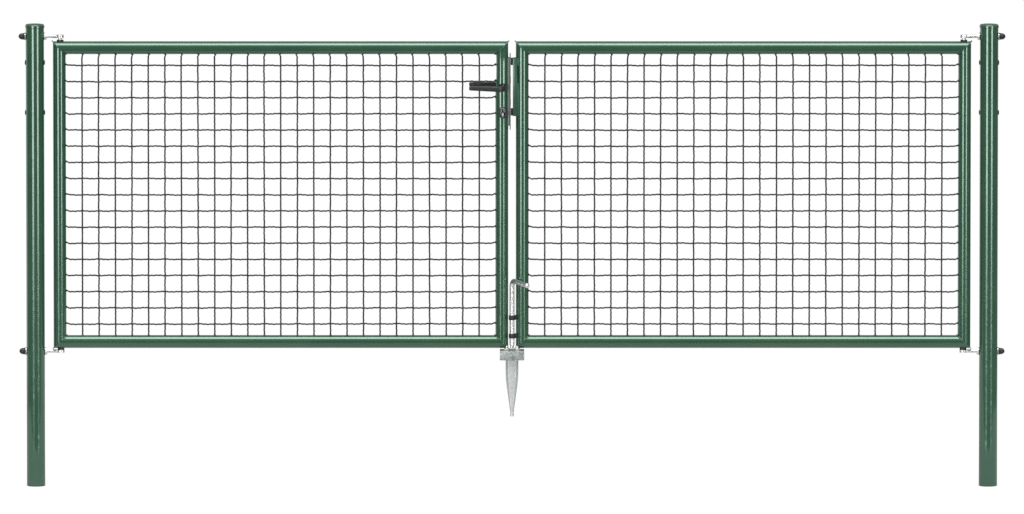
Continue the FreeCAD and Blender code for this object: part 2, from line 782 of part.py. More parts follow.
def make_drop_bolt():
    body = new_body("drop_bolt_body")
    tip = new_sketch(body, "bolt_tip_circle", "XY_Plane")
    ring(tip, mm.bolt_tip_diameter / 2)
    pad(body, "bolt_tip", tip, mm.bolt_tip_length)
    section = new_sketch(body, "bolt_section", "XY_Plane", mm.bolt_tip_length)
    ring(section, mm.bolt_diameter / 2)
    path = new_sketch(body, "bolt_path", "XZ_Plane")
    droop = math.radians(mm.handle_droop.number)
    turn = math.pi / 2 + droop
    straight = mm.bolt_height - mm.bolt_bend
    centre = vector(mm.bolt_bend, straight)
    bend_end = centre + mm.bolt_bend.number * FreeCAD.Vector(math.cos(math.pi - turn), math.sin(math.pi - turn), 0)
    along = FreeCAD.Vector(math.cos(droop), -math.sin(droop), 0)
    handle_end = bend_end + (mm.handle_length.number - mm.bolt_bend.number) * along
    shank = path.addGeometry(Part.LineSegment(vector(0, mm.bolt_tip_length), vector(0, straight)))
    circle = Part.Circle(centre, FreeCAD.Vector(0, 0, 1), mm.bolt_bend.number)
    bend = path.addGeometry(Part.ArcOfCircle(circle, math.pi - turn, math.pi))
    handle = path.addGeometry(Part.LineSegment(bend_end, handle_end))
    path.addConstraint(Sketcher.Constraint("Tangent", shank, 2, bend, 2))
    path.addConstraint(Sketcher.Constraint("Tangent", bend, 1, handle, 1))
    locate(path, shank, 1, 0, mm.bolt_tip_length)
    locate(path, shank, 2, 0, straight)
    size = path.addConstraint(Sketcher.Constraint("Radius", bend, mm.bolt_bend.number))
    bind(path, f"Constraints[{size}]", mm.bolt_bend)
    reach = mm.handle_length - mm.bolt_bend
    size = path.addConstraint(Sketcher.Constraint("Distance", handle, reach.number))
    bind(path, f"Constraints[{size}]", reach)
    slope = path.addConstraint(Sketcher.Constraint("Angle", handle, -droop))
    path.setExpression(f"Constraints[{slope}]", f"-{mm.handle_droop.text} * 1 deg")
    rod = body.newObject("PartDesign::AdditivePipe", "bolt_rod")
    rod.Profile = section
    rod.Spine = (path, ["Edge1", "Edge2", "Edge3"])
    place(body, middle_x, bolt_y, bolt_base, (0, 0, 1), -mm.handle_turn.number)
    piece(body, "drop_bolt")


def make_guides():
    guides = []
    hole_radius = mm.bolt_diameter / 2 + mm.guide_slack
    half_lug = mm.guide_lug / 2
    for name, rise in (("upper", mm.upper_guide_rise), ("lower", mm.lower_guide_rise)):
        base = mm.leaf_base + rise
        sleeve = cylinder(name + "_guide_sleeve", hole_radius + mm.guide_wall, mm.guide_height, middle_x,
                          bolt_y, base)
        lug = box(name + "_guide_lug", (middle_x, bolt_y + half_lug, base),
                  (right_stile_x - frame_radius / 2, bolt_y + 3 * half_lug, base + mm.guide_height))
        hole = cylinder(name + "_guide_hole", hole_radius, mm.guide_height, middle_x, bolt_y, base)
        stile = cylinder(name + "_guide_seat", frame_radius, mm.guide_height, right_stile_x, 0, base)
        solid = fuse(name + "_guide_solid", [sleeve, lug])
        guides.append(cut(name + "_guide", solid, fuse(name + "_guide_cutters", [hole, stile])))
    piece(group("guide_pair", guides), "bolt_guides")


def make_socket():
    body = new_body("socket_body")
    section = new_sketch(body, "socket_section", "YZ_Plane")
    half = mm.socket_depth / 2
    inner = half - mm.socket_steel
    outline(section, [
        (-half, -mm.socket_height), (-inner, -mm.socket_height), (-inner, -mm.socket_steel),
        (inner, -mm.socket_steel), (inner, -mm.socket_height), (half, -mm.socket_height),
        (half, 0), (-half, 0),
    ])
    pad(body, "socket_length", section, mm.socket_width, midplane=True)
    hole = new_sketch(body, "socket_hole_circle", "XY_Plane")
    ring(hole, mm.socket_hole / 2)
    pocket_through(body, "socket_hole_cut", hole)
    place(body, middle_x, bolt_y, socket_top)
    piece(body, "ground_socket")


def make_spike():
    """A folded angle with its ridge to the front, both wings trimmed to a taper."""
    body = new_body("spike_body")
    section = new_sketch(body, "spike_section", "XY_Plane", -mm.spike_length)
    half = mm.spike_top / 2
    fold = mm.spike_steel * math.sqrt(2)
    front = mm.spike_clearance - half
    outline(section, [
        (0, front), (half, front + half), (half - fold / 2, front + half + fold / 2), (0, front + fold),
        (fold / 2 - half, front + half + fold / 2), (-half, front + half),
    ])
    pad(body, "spike_length", section, mm.spike_length)
    trim = new_sketch(body, "spike_trim", "XZ_Plane")
    shoulder = mm.spike_shoulder / 2
    neck = mm.spike_neck / 2
    end = mm.spike_bottom / 2
    beyond = mm.spike_top
    for turn in (1, -1):
        outline(trim, [
            (turn * half, -0.3 * mm.spike_length), (turn * shoulder, -0.58 * mm.spike_length),
            (turn * neck, -0.85 * mm.spike_length), (turn * end, -mm.spike_length),
            (turn * end, -mm.spike_length - beyond), (turn * beyond, -mm.spike_length - beyond),
            (turn * beyond, -0.3 * mm.spike_length),
        ])
    pocket_through(body, "spike_trim_cuts", trim)
    place(body, middle_x, bolt_y, socket_top - mm.socket_steel)
    piece(body, "ground_spike")


def make_stops():
    """Hex headed stop screws on the socket, in front of the closed leaves."""
    stops = []
    y = bolt_y - mm.stop_offset
    for name, x in (("left", middle_x - mm.stop_spread), ("right", middle_x + mm.stop_spread)):
        head = doc.addObject("Part::Prism", name + "_stop_head")
        head.Polygon = 6
        bind(head, "Circumradius", mm.stop_width / math.sqrt(3))
        bind(head, "Height", mm.stop_head)
        place(head, x, y, socket_top)
        shank = cylinder(name + "_stop_shank", mm.stop_shank / 2, mm.stop_height, x, y, socket_top)
        stops.append(fuse(name + "_stop", [head, shank]))
    piece(group("stop_pair", stops), "leaf_stops")


for side in sides:
    make_post(side)
    make_cap(side)
make_plugs()
for side in sides:
    for level, height in eye_heights:
        make_eyebolt(side, level, height)
make_washers()
make_nuts()
make_cap_nuts()
meeting_bars = {side: make_frame(side) for side in sides}
for side in sides:
    make_pins(side)
    make_bushes(side)
    make_mesh(side)
make_lock(meeting_bars["left"])
piece(meeting_bars["right"], "right_keep_stile")
make_keep()
make_drop_bolt()
make_guides()
make_socket()
make_spike()
make_stops()

doc.recompute()
for item in doc.Objects:
    faults = [state for state in item.State if state in ("Invalid", "Error")]
    if faults:
        raise RuntimeError(f"{item.Name} is {faults}")
for item in finished:
    if item.Shape.isNull() or not item.Shape.isValid():
        raise RuntimeError(f"{item.Label} has no valid shape")

os.makedirs("parts", exist_ok=True)
for item in finished:
    item.Shape.exportStep(f"parts/{item.Label}.step")
    print(f"{item.Label}: {len(item.Shape.Solids)} solids, {item.Shape.Volume / 1000:.1f} cm3")
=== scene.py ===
import math
import random

import bmesh
import bpy
from mathutils import Matrix, Vector


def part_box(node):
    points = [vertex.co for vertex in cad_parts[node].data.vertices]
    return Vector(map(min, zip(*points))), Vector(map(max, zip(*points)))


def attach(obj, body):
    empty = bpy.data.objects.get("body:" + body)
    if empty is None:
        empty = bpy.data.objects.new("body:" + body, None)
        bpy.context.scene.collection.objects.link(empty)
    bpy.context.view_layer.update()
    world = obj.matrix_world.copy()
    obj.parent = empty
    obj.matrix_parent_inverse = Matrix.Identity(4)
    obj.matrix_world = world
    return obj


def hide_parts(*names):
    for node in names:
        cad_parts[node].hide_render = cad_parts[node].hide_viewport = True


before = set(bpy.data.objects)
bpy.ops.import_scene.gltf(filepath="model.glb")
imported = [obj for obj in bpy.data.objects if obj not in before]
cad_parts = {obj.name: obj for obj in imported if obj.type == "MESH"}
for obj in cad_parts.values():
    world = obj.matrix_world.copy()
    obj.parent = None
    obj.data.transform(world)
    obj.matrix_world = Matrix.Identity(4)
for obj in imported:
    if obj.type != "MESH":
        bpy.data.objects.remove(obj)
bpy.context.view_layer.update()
print("frame loaded")

# Double mesh gate: metres, +X from the left post to the right one, +Y away from the camera.

random.seed(11)


# Shader maths: a signal is one socket of a node tree
class Signal:
    def __init__(self, tree, socket=None):
        self.tree = tree
        self.socket = socket

    def node(self, kind, settings=None, values=None, output=0):
        made = self.tree.nodes.new(kind)
        for name, value in (settings or {}).items():
            setattr(made, name, value)
        for name, value in (values or {}).items():
            if isinstance(value, Signal):
                self.tree.links.new(value.socket, made.inputs[name])
            else:
                made.inputs[name].default_value = value
        return Signal(self.tree, made.outputs[output])

    def maths(self, operation, *others):
        values = dict(enumerate((self, *others)))
        return self.node("ShaderNodeMath", {"operation": operation}, values)

    def __add__(self, other):
        return self.maths("ADD", other)

    __radd__ = __add__

    def __mul__(self, other):
        return self.maths("MULTIPLY", other)

    __rmul__ = __mul__

    def __sub__(self, other):
        return self.maths("SUBTRACT", other)

    def __rsub__(self, other):
        return (self * -1) + other

    def __neg__(self):
        return self * -1

    def step(self, low, high):  # smooth rise from 0 at low to 1 at high
        span = {"From Min": low, "From Max": high, "Value": self}
        return self.node("ShaderNodeMapRange", {"interpolation_type": "SMOOTHSTEP"}, span)


def mixColours(factor, first, second):
    return factor.node("ShaderNodeMix", {"data_type": "RGBA"}, {0: factor, 6: first, 7: second}, 2)


def newMaterial(name, constants):
    material = bpy.data.materials.new(name)
    material.use_nodes = True
    tree = material.node_tree
    surface = tree.nodes["Principled BSDF"]
    for socket, value in constants.items():
        surface.inputs[socket].default_value = value
    place = Signal(tree).node("ShaderNodeTexCoord", output="Object")
    return material, place, surface


def link(signal, node, socket):
    signal.tree.links.new(signal.socket, node.inputs[socket])


def noise(place, scale, detail=2.0, stretch=None):
    if stretch:
        place = place.node("ShaderNodeMapping", None, {"Vector": place, "Scale": stretch})
    return place.node("ShaderNodeTexNoise", None, {"Vector": place, "Scale": scale, "Detail": detail})


def bump(height, strength, distance):
    return height.node("ShaderNodeBump", None, {"Strength": strength, "Distance": distance, "Height": height})


# Moss green powder coat of posts, frames and keep
paintLook = {
    "deep": (0.016, 0.070, 0.036, 1),
    "pale": (0.026, 0.088, 0.047, 1),
    "olive": (0.034, 0.080, 0.030, 1),
    "oliveShare": 0.45,
    "tint": (0.76, 1.0, 0.88, 1),
    "mottleScale": 5.5,
    "cloudScale": 1.3,
    "roughness": 0.06,
    "wear": 0.05,
    "wearScale": 60.0,
    "peelScale": 260.0,
    "peelDepth": 0.00001,
    "coat": 0.15,
    "coatRoughness": 0.02,
}
capLook = {**paintLook, "deep": (0.008, 0.050, 0.028, 1)}
keepLook = {**paintLook, "roughness": 0.3, "coat": 0.0}


def makePaint(name, look):
    constants = {"IOR": 1.55, "Specular IOR Level": 1.0, "Specular Tint": look["tint"],
                 "Coat Weight": look["coat"], "Coat Roughness": look["coatRoughness"]}
    material, place, surface = newMaterial(name, constants)
    mottle = noise(place, look["mottleScale"], 4)
    cloud = noise(place, look["cloudScale"], 2)
    colour = mixColours(mottle.step(0.35, 0.7), look["deep"], look["pale"])
    colour = mixColours(cloud.step(0.45, 0.75) * look["oliveShare"], colour, look["olive"])
    link(colour, surface, "Base Color")
    wear = noise(place, look["wearScale"], 3)
    link(wear.step(0.45, 0.8) * look["wear"] + look["roughness"], surface, "Roughness")
    peel = noise(place, look["peelScale"], 1)
    link(bump(peel, 0.2, look["peelDepth"]), surface, "Normal")
    return material


# Dull coat of the mesh wires, with lighter specks in random places as painted highlights where light catches
# them
wireLook = {
    "dark": (0.032, 0.036, 0.033, 1),
    "light": (0.066, 0.076, 0.069, 1),
    "speckScale": 42.0,
    "shine": 0.08,
    "roughness": 0.38,
    "patchScale": 160.0,
    "grainScale": 700.0,
    "grainDepth": 0.0002,
}


def makeWirePaint(name, look):
    material, place, surface = newMaterial(name, {"Specular IOR Level": look["shine"]})
    # Painted highlights: lighter specks put at random stand in for light glinting where the wires cross
    glintSpeck = noise(place, look["speckScale"], 3)
    colour = mixColours(glintSpeck.step(0.36, 0.68), look["dark"], look["light"])
    link(colour, surface, "Base Color")
    link(noise(place, look["patchScale"], 2) * 0.2 + look["roughness"], surface, "Roughness")
    link(bump(noise(place, look["grainScale"], 2), 0.35, look["grainDepth"]), surface, "Normal")
    return material


# Dark finishes: plastic, rubber and lacquered levers; and painted shade: the faceplate painted near black for
# the dark reflection on its steel, and near-black blocks in the key slots and the keep's notch for the shade
# in these hollows
blackLook = {"colour": (0.012, 0.013, 0.013, 1), "worn": (0.040, 0.041, 0.040, 1), "scuffScale": 70.0,
             "roughness": 0.32, "shine": 0.5, "grain": 900.0, "grainDepth": 0.0001}
rubberLook = {**blackLook, "roughness": 0.5, "grainDepth": 0.0002}
leverLook = {**blackLook, "colour": (0.026, 0.029, 0.028, 1), "worn": (0.055, 0.058, 0.056, 1),
             "roughness": 0.24, "grainDepth": 0.00006}
# Faceplate: near black, a dark non-metal colour painted as the dark reflection and shade on its steel
plateShadeLook = {**blackLook, "colour": (0.045, 0.048, 0.048, 1), "worn": (0.070, 0.074, 0.073, 1),
             "roughness": 0.3, "shine": 0.25, "grain": 240.0}
# Painted shade: near black, standing in for the shade deep in the key slots and in the keep's notch
paintedShadeLook = {**blackLook, "colour": (0.002, 0.005, 0.004, 1), "worn": (0.004, 0.008, 0.006, 1),
            "roughness": 0.5, "shine": 0.05, "grain": 300.0}


def makeDark(name, look):
    material, place, surface = newMaterial(name, {"Specular IOR Level": look["shine"]})
    scuff = noise(place, look["scuffScale"], 5)
    colour = mixColours(scuff.step(0.5, 0.8), look["colour"], look["worn"])
    link(colour, surface, "Base Color")
    link(scuff * 0.22 + look["roughness"], surface, "Roughness")
    link(bump(noise(place, look["grain"], 2), 0.4, look["grainDepth"]), surface, "Normal")
    return material


# Bare metal with drawn lines: zinc plate, the lock's case and the cylinder
zincLook = {"bright": (0.86, 0.87, 0.88, 1), "warm": (0.74, 0.73, 0.68, 1), "dull": (0.52, 0.54, 0.56, 1),
            "roughness": 0.24, "stretch": (1, 1, 0.08)}
caseLook = {"bright": (0.26, 0.29, 0.27, 1), "warm": (0.24, 0.26, 0.24, 1), "dull": (0.16, 0.18, 0.17, 1),
            "roughness": 0.35, "stretch": (1, 1, 0.05)}
barrelLook = {"bright": (0.34, 0.34, 0.35, 1), "warm": (0.26, 0.26, 0.25, 1), "dull": (0.12, 0.12, 0.12, 1),
              "roughness": 0.22, "stretch": (1, 1, 0.05)}


def makeDrawn(name, look):
    material, place, surface = newMaterial(name, {"Metallic": 1.0})
    tint = noise(place, 26, 3)
    grime = noise(place, 90, 5)
    colour = mixColours(tint.step(0.35, 0.7), look["bright"], look["warm"])
    colour = mixColours(grime.step(0.56, 0.82) * 0.7, colour, look["dull"])
    link(colour, surface, "Base Color")
    drawn = noise(place, 300, 3, look["stretch"])
    link(drawn * 0.2 + look["roughness"], surface, "Roughness")
    link(bump(drawn, 0.3, 0.00008), surface, "Normal")
    return material


# Hot dip zinc with crystals: the ground socket and its spike
galvanisedLook = {
    "bright": (0.46, 0.49, 0.47, 1),
    "mid": (0.34, 0.37, 0.35, 1),
    "dull": (0.16, 0.18, 0.17, 1),
    "metal": 0.8,
    "crystalScale": 210.0,
    "warpScale": 90.0,
    "warp": (0.006, 0.006, 0.006),
    "stainScale": 55.0,
}
spikeLook = {**galvanisedLook, "bright": (0.62, 0.63, 0.64, 1), "mid": (0.52, 0.54, 0.54, 1),
             "dull": (0.36, 0.38, 0.38, 1), "metal": 0.4}


def makeGalvanised(name, look):
    material, place, surface = newMaterial(name, {"Metallic": look["metal"]})
    drift = place.node("ShaderNodeTexNoise", None, {"Vector": place, "Scale": look["warpScale"]}, 1)
    shifted = {0: drift, 1: look["warp"], 2: place}
    warped = drift.node("ShaderNodeVectorMath", {"operation": "MULTIPLY_ADD"}, shifted)
    crystals = place.node("ShaderNodeTexVoronoi", None, {"Vector": warped, "Scale": look["crystalScale"]}, 1)
    shade = crystals.node("ShaderNodeSeparateColor", None, {"Color": crystals})
    colour = mixColours(shade.step(0.1, 0.9), look["mid"], look["bright"])
    stain = noise(place, look["stainScale"], 5)
    colour = mixColours(stain.step(0.55, 0.8) * 0.8, colour, look["dull"])
    link(colour, surface, "Base Color")
    link(shade * 0.22 + stain * 0.15 + 0.30, surface, "Roughness")
    link(bump(stain, 0.5, 0.0004), surface, "Normal")
    return material


# Each finish has its material and the name of its slot
finishes = {
    "paint": (makePaint("mossPaint", paintLook), "green_paint"),
    "capPaint": (makePaint("capPaint", capLook), "cap_paint"),
    "wire": (makeWirePaint("wirePaint", wireLook), "mesh_wire"),
    "plastic": (makeDark("blackPlastic", blackLook), "black_plastic"),
    "lever": (makeDark("leverBlack", leverLook), "black_lever"),
    "rubber": (makeDark("blackRubber", rubberLook), "rubber"),
    "zinc": (makeDrawn("zincPlate", zincLook), "zinc"),
    "keepPaint": (makePaint("keepPaint", keepLook), "green_paint"),
    "caseSteel": (makeDrawn("caseSteel", caseLook), "steel"),
    "plateSteel": (makeDark("plateSteel", plateShadeLook), "steel"),
    "barrelSteel": (makeDrawn("barrelSteel", barrelLook), "steel"),
    "void": (makeDark("darkSlot", paintedShadeLook), "rubber"),
    "galvanised": (makeGalvanised("galvanisedSteel", galvanisedLook), "galvanised"),
    "spike": (makeGalvanised("galvanisedSpike", spikeLook), "galvanised"),
}
print("materials made")


# Modelling helpers
def at(x, y, z, axis=None, degrees=0):
    place = Matrix.Translation((x, y, z))
    return place @ Matrix.Rotation(math.radians(degrees), 4, axis) if axis else place


def add(target, part, matrix=None):
    if matrix is not None:
        bmesh.ops.transform(part, matrix=matrix, verts=part.verts)
    carrier = bpy.data.meshes.new("carrier")
    part.to_mesh(carrier)
    part.free()
    target.from_mesh(carrier)
    bpy.data.meshes.remove(carrier)


def roundEdges(bm, edges, offset, segments=2, clamp=False):
    bmesh.ops.bevel(bm, geom=edges, offset=offset, offset_type="OFFSET", segments=segments, profile=0.5,
                    affect="EDGES", material=-1, clamp_overlap=clamp)


def lathe(profile, segments=48):
    bm = bmesh.new()
    points = [bm.verts.new((radius, 0, height)) for radius, height in profile]
    edges = [bm.edges.new(pair) for pair in zip(points, points[1:])]
    bmesh.ops.spin(bm, geom=points + edges, cent=(0, 0, 0), axis=(0, 0, 1), angle=2 * math.pi,
                   steps=segments, use_merge=True)
    bmesh.ops.remove_doubles(bm, verts=bm.verts, dist=1e-7)
    return bm


def block(low, high, bevel=0.0, segments=2):
    bm = bmesh.new()
    bmesh.ops.create_cube(bm, size=1)
    low = Vector(low)
    high = Vector(high)
    bmesh.ops.scale(bm, vec=high - low, verts=bm.verts)
    bmesh.ops.translate(bm, vec=(low + high) / 2, verts=bm.verts)
    if bevel:
        roundEdges(bm, bm.edges[:], bevel, segments)
    return bm


def rod(radius, length, sides, cuts=0):
    bm = bmesh.new()
    bmesh.ops.create_cone(bm, cap_ends=True, segments=sides, radius1=radius, radius2=radius, depth=length)
    if cuts:
        long = [edge for edge in bm.edges if abs(edge.verts[0].co.z - edge.verts[1].co.z) > 0.5 * length]
        bmesh.ops.subdivide_edges(bm, edges=long, cuts=cuts)
    return bm


def newRing(segments, radius):
    bm = bmesh.new()
    bmesh.ops.create_circle(bm, cap_ends=True, segments=segments, radius=radius)
    return bm, bm.edges[:]


def grow(bm, ring, matrix):
    made = bmesh.ops.extrude_edge_only(bm, edges=ring)["geom"]
    verts = [item for item in made if isinstance(item, bmesh.types.BMVert)]
    fresh = set(verts)
    ring = [item for item in made if isinstance(item, bmesh.types.BMEdge) and fresh.issuperset(item.verts)]
    bmesh.ops.transform(bm, matrix=matrix, verts=verts)
    return ring


def bend(bm, ring, centre, axis, degrees, steps):
    turn = Matrix.Rotation(math.radians(degrees / steps), 4, axis)
    about = Matrix.Translation(centre) @ turn @ Matrix.Translation(-Vector(centre))
    for _ in range(steps):
        ring = grow(bm, ring, about)
    return ring


def taper(bm, ring, factors):
    verts = list({vert for edge in ring for vert in edge.verts})
    middle = sum((vert.co for vert in verts), Vector()) / len(verts)
    bmesh.ops.scale(bm, vec=factors, verts=verts, space=Matrix.Translation(-middle))


def close(bm, ring):
    bmesh.ops.contextual_create(bm, geom=ring)


def makePiece(name, bm, finish, body, nodes=(), crease=32):
    bmesh.ops.remove_doubles(bm, verts=bm.verts, dist=1e-7)
    bmesh.ops.recalc_face_normals(bm, faces=bm.faces)
    limit = math.radians(crease)
    for face in bm.faces:
        face.smooth = True
    for edge in bm.edges:
        edge.smooth = len(edge.link_faces) == 2 and edge.calc_face_angle() < limit
    mesh = bpy.data.meshes.new(name)
    bm.to_mesh(mesh)
    bm.free()
    piece = bpy.data.objects.new(name, mesh)
    bpy.context.scene.collection.objects.link(piece)
    material, slot = finishes[finish]
    mesh.materials.append(material)
    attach(piece, body)
    if nodes:
        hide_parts(*nodes)


def softened(name, node, bevel, finish, body, segments=2):  # the CAD solid with its edges eased
    bm = bmesh.new()
    bm.from_mesh(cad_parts[node].data)
    bmesh.ops.remove_doubles(bm, verts=bm.verts, dist=1e-5)
    bmesh.ops.dissolve_limit(bm, angle_limit=math.radians(2), verts=bm.verts, edges=bm.edges)
    limit = math.radians(35)
    sharp = [edge for edge in bm.edges if len(edge.link_faces) == 2 and edge.calc_face_angle() > limit]
    roundEdges(bm, sharp, bevel, segments, clamp=True)
    makePiece(name, bm, finish, body, (node,))


def pieceName(node):
    first, *others = node.split("_")
    return first + "".join(word.title() for word in others)


# Where the posts and leaves are
postLow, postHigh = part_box("left_post")
rightLow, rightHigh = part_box("right_post")
postX = {"left": (postLow.x + postHigh.x) / 2, "right": (rightLow.x + rightHigh.x) / 2}
inward = {"left": 1, "right": -1}
middleX = (postX["left"] + postX["right"]) / 2
leafBox = {
    "left": (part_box("left_hinge_stile")[0].x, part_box("left_lock_stile")[1].x),
    "right": (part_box("right_keep_stile")[0].x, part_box("right_hinge_stile")[1].x),
}
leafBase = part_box("left_bottom_rail")[0].z
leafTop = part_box("left_top_rail")[1].z


def eyeHeight(side, level):
    low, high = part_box(f"{side}_{level}_eyebolt")
    return (low.z + high.z) / 2


# Posts: open tube with a rounded foot
post = {
    "radius": (postHigh.x - postLow.x) / 2,
    "height": postHigh.z,
    "wall": 0.0015,
    "edge": 0.002,
    "burr": 0.0004,
    "segments": 96,
}


def makePost(side):
    outer = post["radius"]
    inner = outer - post["wall"]
    edge = post["edge"]
    burr = post["burr"]
    top = post["height"]
    profile = [(inner, burr), (inner + burr, 0)]
    for step in range(6):
        turn = math.radians(18 * step)
        profile.append((outer - edge * (1 - math.sin(turn)) * 0.4, edge * (1 - math.cos(turn))))
    profile += [(outer, edge), (outer, 2 * edge), (outer, top), (inner, top), (inner, burr)]
    tube = lathe(profile, post["segments"])
    bmesh.ops.translate(tube, vec=(postX[side], 0, 0), verts=tube.verts)
    makePiece(side + "PostTube", tube, "paint", "posts", (side + "_post",))


cap = {
    "rim": 0.0315,
    "lip": 0.0006,
    "shoulder": 0.0036,
    "dome": 0.0035,
    "plugDepth": 0.004,
    "plugInset": 0.0036,
    "seat": 0.0016,
    "segments": 96,
}


def makeCap(side):
    base = post["height"]
    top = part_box(side + "_cap")[1].z - base
    rim = cap["rim"]
    lip = cap["lip"]
    shoulder = cap["shoulder"]
    depth = cap["plugDepth"]
    start = top - cap["dome"] - shoulder * 0.7
    profile = [(0, -depth), (rim - cap["plugInset"], -depth), (rim - cap["seat"], 0), (rim - lip, 0),
               (rim - 0.3 * lip, 0.3 * lip), (rim, lip), (rim, 2 * lip), (rim, start - 0.001)]
    for step in range(7):
        turn = math.radians(12 * step)
        profile.append((rim - shoulder * (1 - math.cos(turn)), start + shoulder * math.sin(turn)))
    reach, rise = profile[-1]
    for step in range(1, 11):
        turn = math.pi / 2 * step / 10
        profile.append((reach * math.cos(turn), rise + (top - rise) * math.sin(turn) ** 0.8))
    dome = lathe(profile, cap["segments"])
    bmesh.ops.translate(dome, vec=(postX[side], 0, base), verts=dome.verts)
    makePiece(side + "PostCap", dome, "capPaint", "posts", (side + "_cap",))


# Plugs in the posts' spare holes, below the upper eyebolts
plug = {"radius": 0.008, "proud": 0.003, "depth": 0.004, "neck": 0.007, "drops": (0.085, 0.2475)}


def makePlugs():
    bm = bmesh.new()
    upper = eyeHeight("left", "upper")
    radius = plug["radius"]
    proud = plug["proud"]
    neck = plug["neck"]
    profile = [(0, -plug["depth"]), (neck, -plug["depth"]), (neck, -0.0008), (radius, -0.0004),
               (radius, 0.35 * proud)]
    for step in range(1, 7):
        turn = math.radians(15 * step)
        profile.append((radius * math.cos(turn), proud * (0.35 + 0.65 * math.sin(turn))))
    for side in ("left", "right"):
        for drop in plug["drops"]:
            for way in (-1, 1):
                place = at(postX[side] + way * post["radius"], 0, upper - drop, "Y", 90 * way)
                add(bm, lathe(profile, 32), place)
    makePiece("plugButtons", bm, "plastic", "posts", ("post_plugs",))


# Hinges: a threaded rod through the post with an eye for the leaf's pin
hinge = {
    "rod": 0.0055,
    "tail": 0.043,
    "pitch": 0.0015,
    "threadDepth": 0.00018,
    "shank": 0.0003,
    "neck": 0.0054,
    "neckEdge": 0.0014,
    "eye": 0.012,
    "bore": 0.00605,
    "thick": 0.0096,
    "edge": 0.0009,
    "pinX": 0.082,
    "washer": 0.0125,
    "washerThick": 0.0025,
    "nut": 0.021,
    "nutThick": 0.006,
    "nutEdge": 0.0007,
}


def thread(radius, length, pitch, depth):
    count = int(length / pitch)
    profile = []
    for turn in range(count):
        profile += [(radius - depth, turn * pitch), (radius, (turn + 0.5) * pitch)]
    return profile + [(radius - depth, count * pitch)]


def makeHinge(side, level):
    height = eyeHeight(side, level)
    way = inward[side]
    x = postX[side]
    start = post["radius"]
    outer = hinge["rod"]
    foot = -hinge["tail"] - start
    neckEnd = hinge["pinX"] - hinge["eye"] + 0.001
    exposed = neckEnd - start - 0.003
    shank = outer - hinge["shank"]
    profile = [(0, foot), (outer, foot), (outer, 0)]
    profile += thread(outer, exposed, hinge["pitch"], hinge["threadDepth"])
    profile += [(shank, exposed + 0.0004), (shank, exposed + 0.004), (0, exposed + 0.004)]
    bm = bmesh.new()
    add(bm, lathe(profile, 32), at(x + way * start, 0, height, "Y", 90 * way))
    half = hinge["thick"] / 2
    neck = hinge["neck"]
    eyeX = x + way * hinge["pinX"]
    neckLow, neckHigh = sorted((x + way * (neckEnd - 0.003), eyeX - way * 0.008))
    neckBlock = block((neckLow, -neck, height - half + 0.0002), (neckHigh, neck, height + half - 0.0002),
                      hinge["neckEdge"], 3)
    add(bm, neckBlock)
    eye = hinge["eye"]
    bore = hinge["bore"]
    edge = hinge["edge"]
    profile = [(bore, edge - half), (bore + edge, -half), (eye - edge, -half), (eye, edge - half),
               (eye, half - edge), (eye - edge, half), (bore + edge, half), (bore, half - edge),
               (bore, edge - half)]
    add(bm, lathe(profile), at(eyeX, 0, height))
    node = f"{side}_{level}_eyebolt"
    makePiece(pieceName(node), bm, "zinc", "posts", (node,))


# Washers on both sides of the post, the nut inside and the domed nut outside
domedNut = {
    "radius": 0.0115,
    "length": 0.0205,
    "skirt": 0.0075,
    "bore": 0.004,
    "edge": 0.0006,
    "flange": 0.0032,
    "shoulder": 0.0046,
    "inset": 0.0012,
}


def washerProfile(hole, radius, thick, edge=0.0004):
    return [(hole, 0), (radius - edge, 0), (radius, edge), (radius, thick - edge), (radius - edge, thick),
            (hole, thick), (hole, 0)]


def domedNutProfile():
    radius = domedNut["radius"]
    edge = domedNut["edge"]
    skirt = domedNut["skirt"]
    inner = radius - domedNut["inset"]
    profile = [(domedNut["bore"], 0), (radius - edge, 0), (radius, edge), (radius, domedNut["flange"]),
               (inner, domedNut["shoulder"]), (inner, skirt)]
    for step in range(1, 10):
        turn = math.radians(10 * step)
        profile.append((inner * math.cos(turn), skirt + (domedNut["length"] - skirt) * math.sin(turn)))
    return profile


def makeFasteners():
    washers = bmesh.new()
    nuts = bmesh.new()
    domes = bmesh.new()
    face = post["radius"]
    thick = hinge["washerThick"]
    disc = washerProfile(hinge["rod"], hinge["washer"], thick)
    dome = domedNutProfile()
    for side in ("left", "right"):
        x = postX[side]
        way = inward[side]
        for level in ("upper", "lower"):
            height = eyeHeight(side, level)
            for turn in (way, -way):
                add(washers, lathe(disc), at(x + turn * face, 0, height, "Y", 90 * turn))
            nut = rod(hinge["nut"] / math.sqrt(3), hinge["nutThick"], 6)
            roundEdges(nut, nut.edges[:], hinge["nutEdge"])
            add(nuts, nut, at(x + way * (face + thick + hinge["nutThick"] / 2), 0, height, "Y", 90))
            add(domes, lathe(dome), at(x - way * (face + thick), 0, height, "Y", -90 * way))
    makePiece("hingeWashers", washers, "zinc", "posts", ("hinge_washers",))
    makePiece("hingeNuts", nuts, "zinc", "posts", ("hinge_nuts",))
    makePiece("domedNuts", domes, "plastic", "posts", ("cap_nuts",))


for side in ("left", "right"):
    makePost(side)
    makeCap(side)
    for level in ("upper", "lower"):
        makeHinge(side, level)
makePlugs()
makeFasteners()
print("posts and hinges made")

# Leaf frames: mitred tubes with a fine weld bead at each corner
tube = {"radius": 0.021, "segments": 72, "bead": 0.0026, "beadSegments": 10}


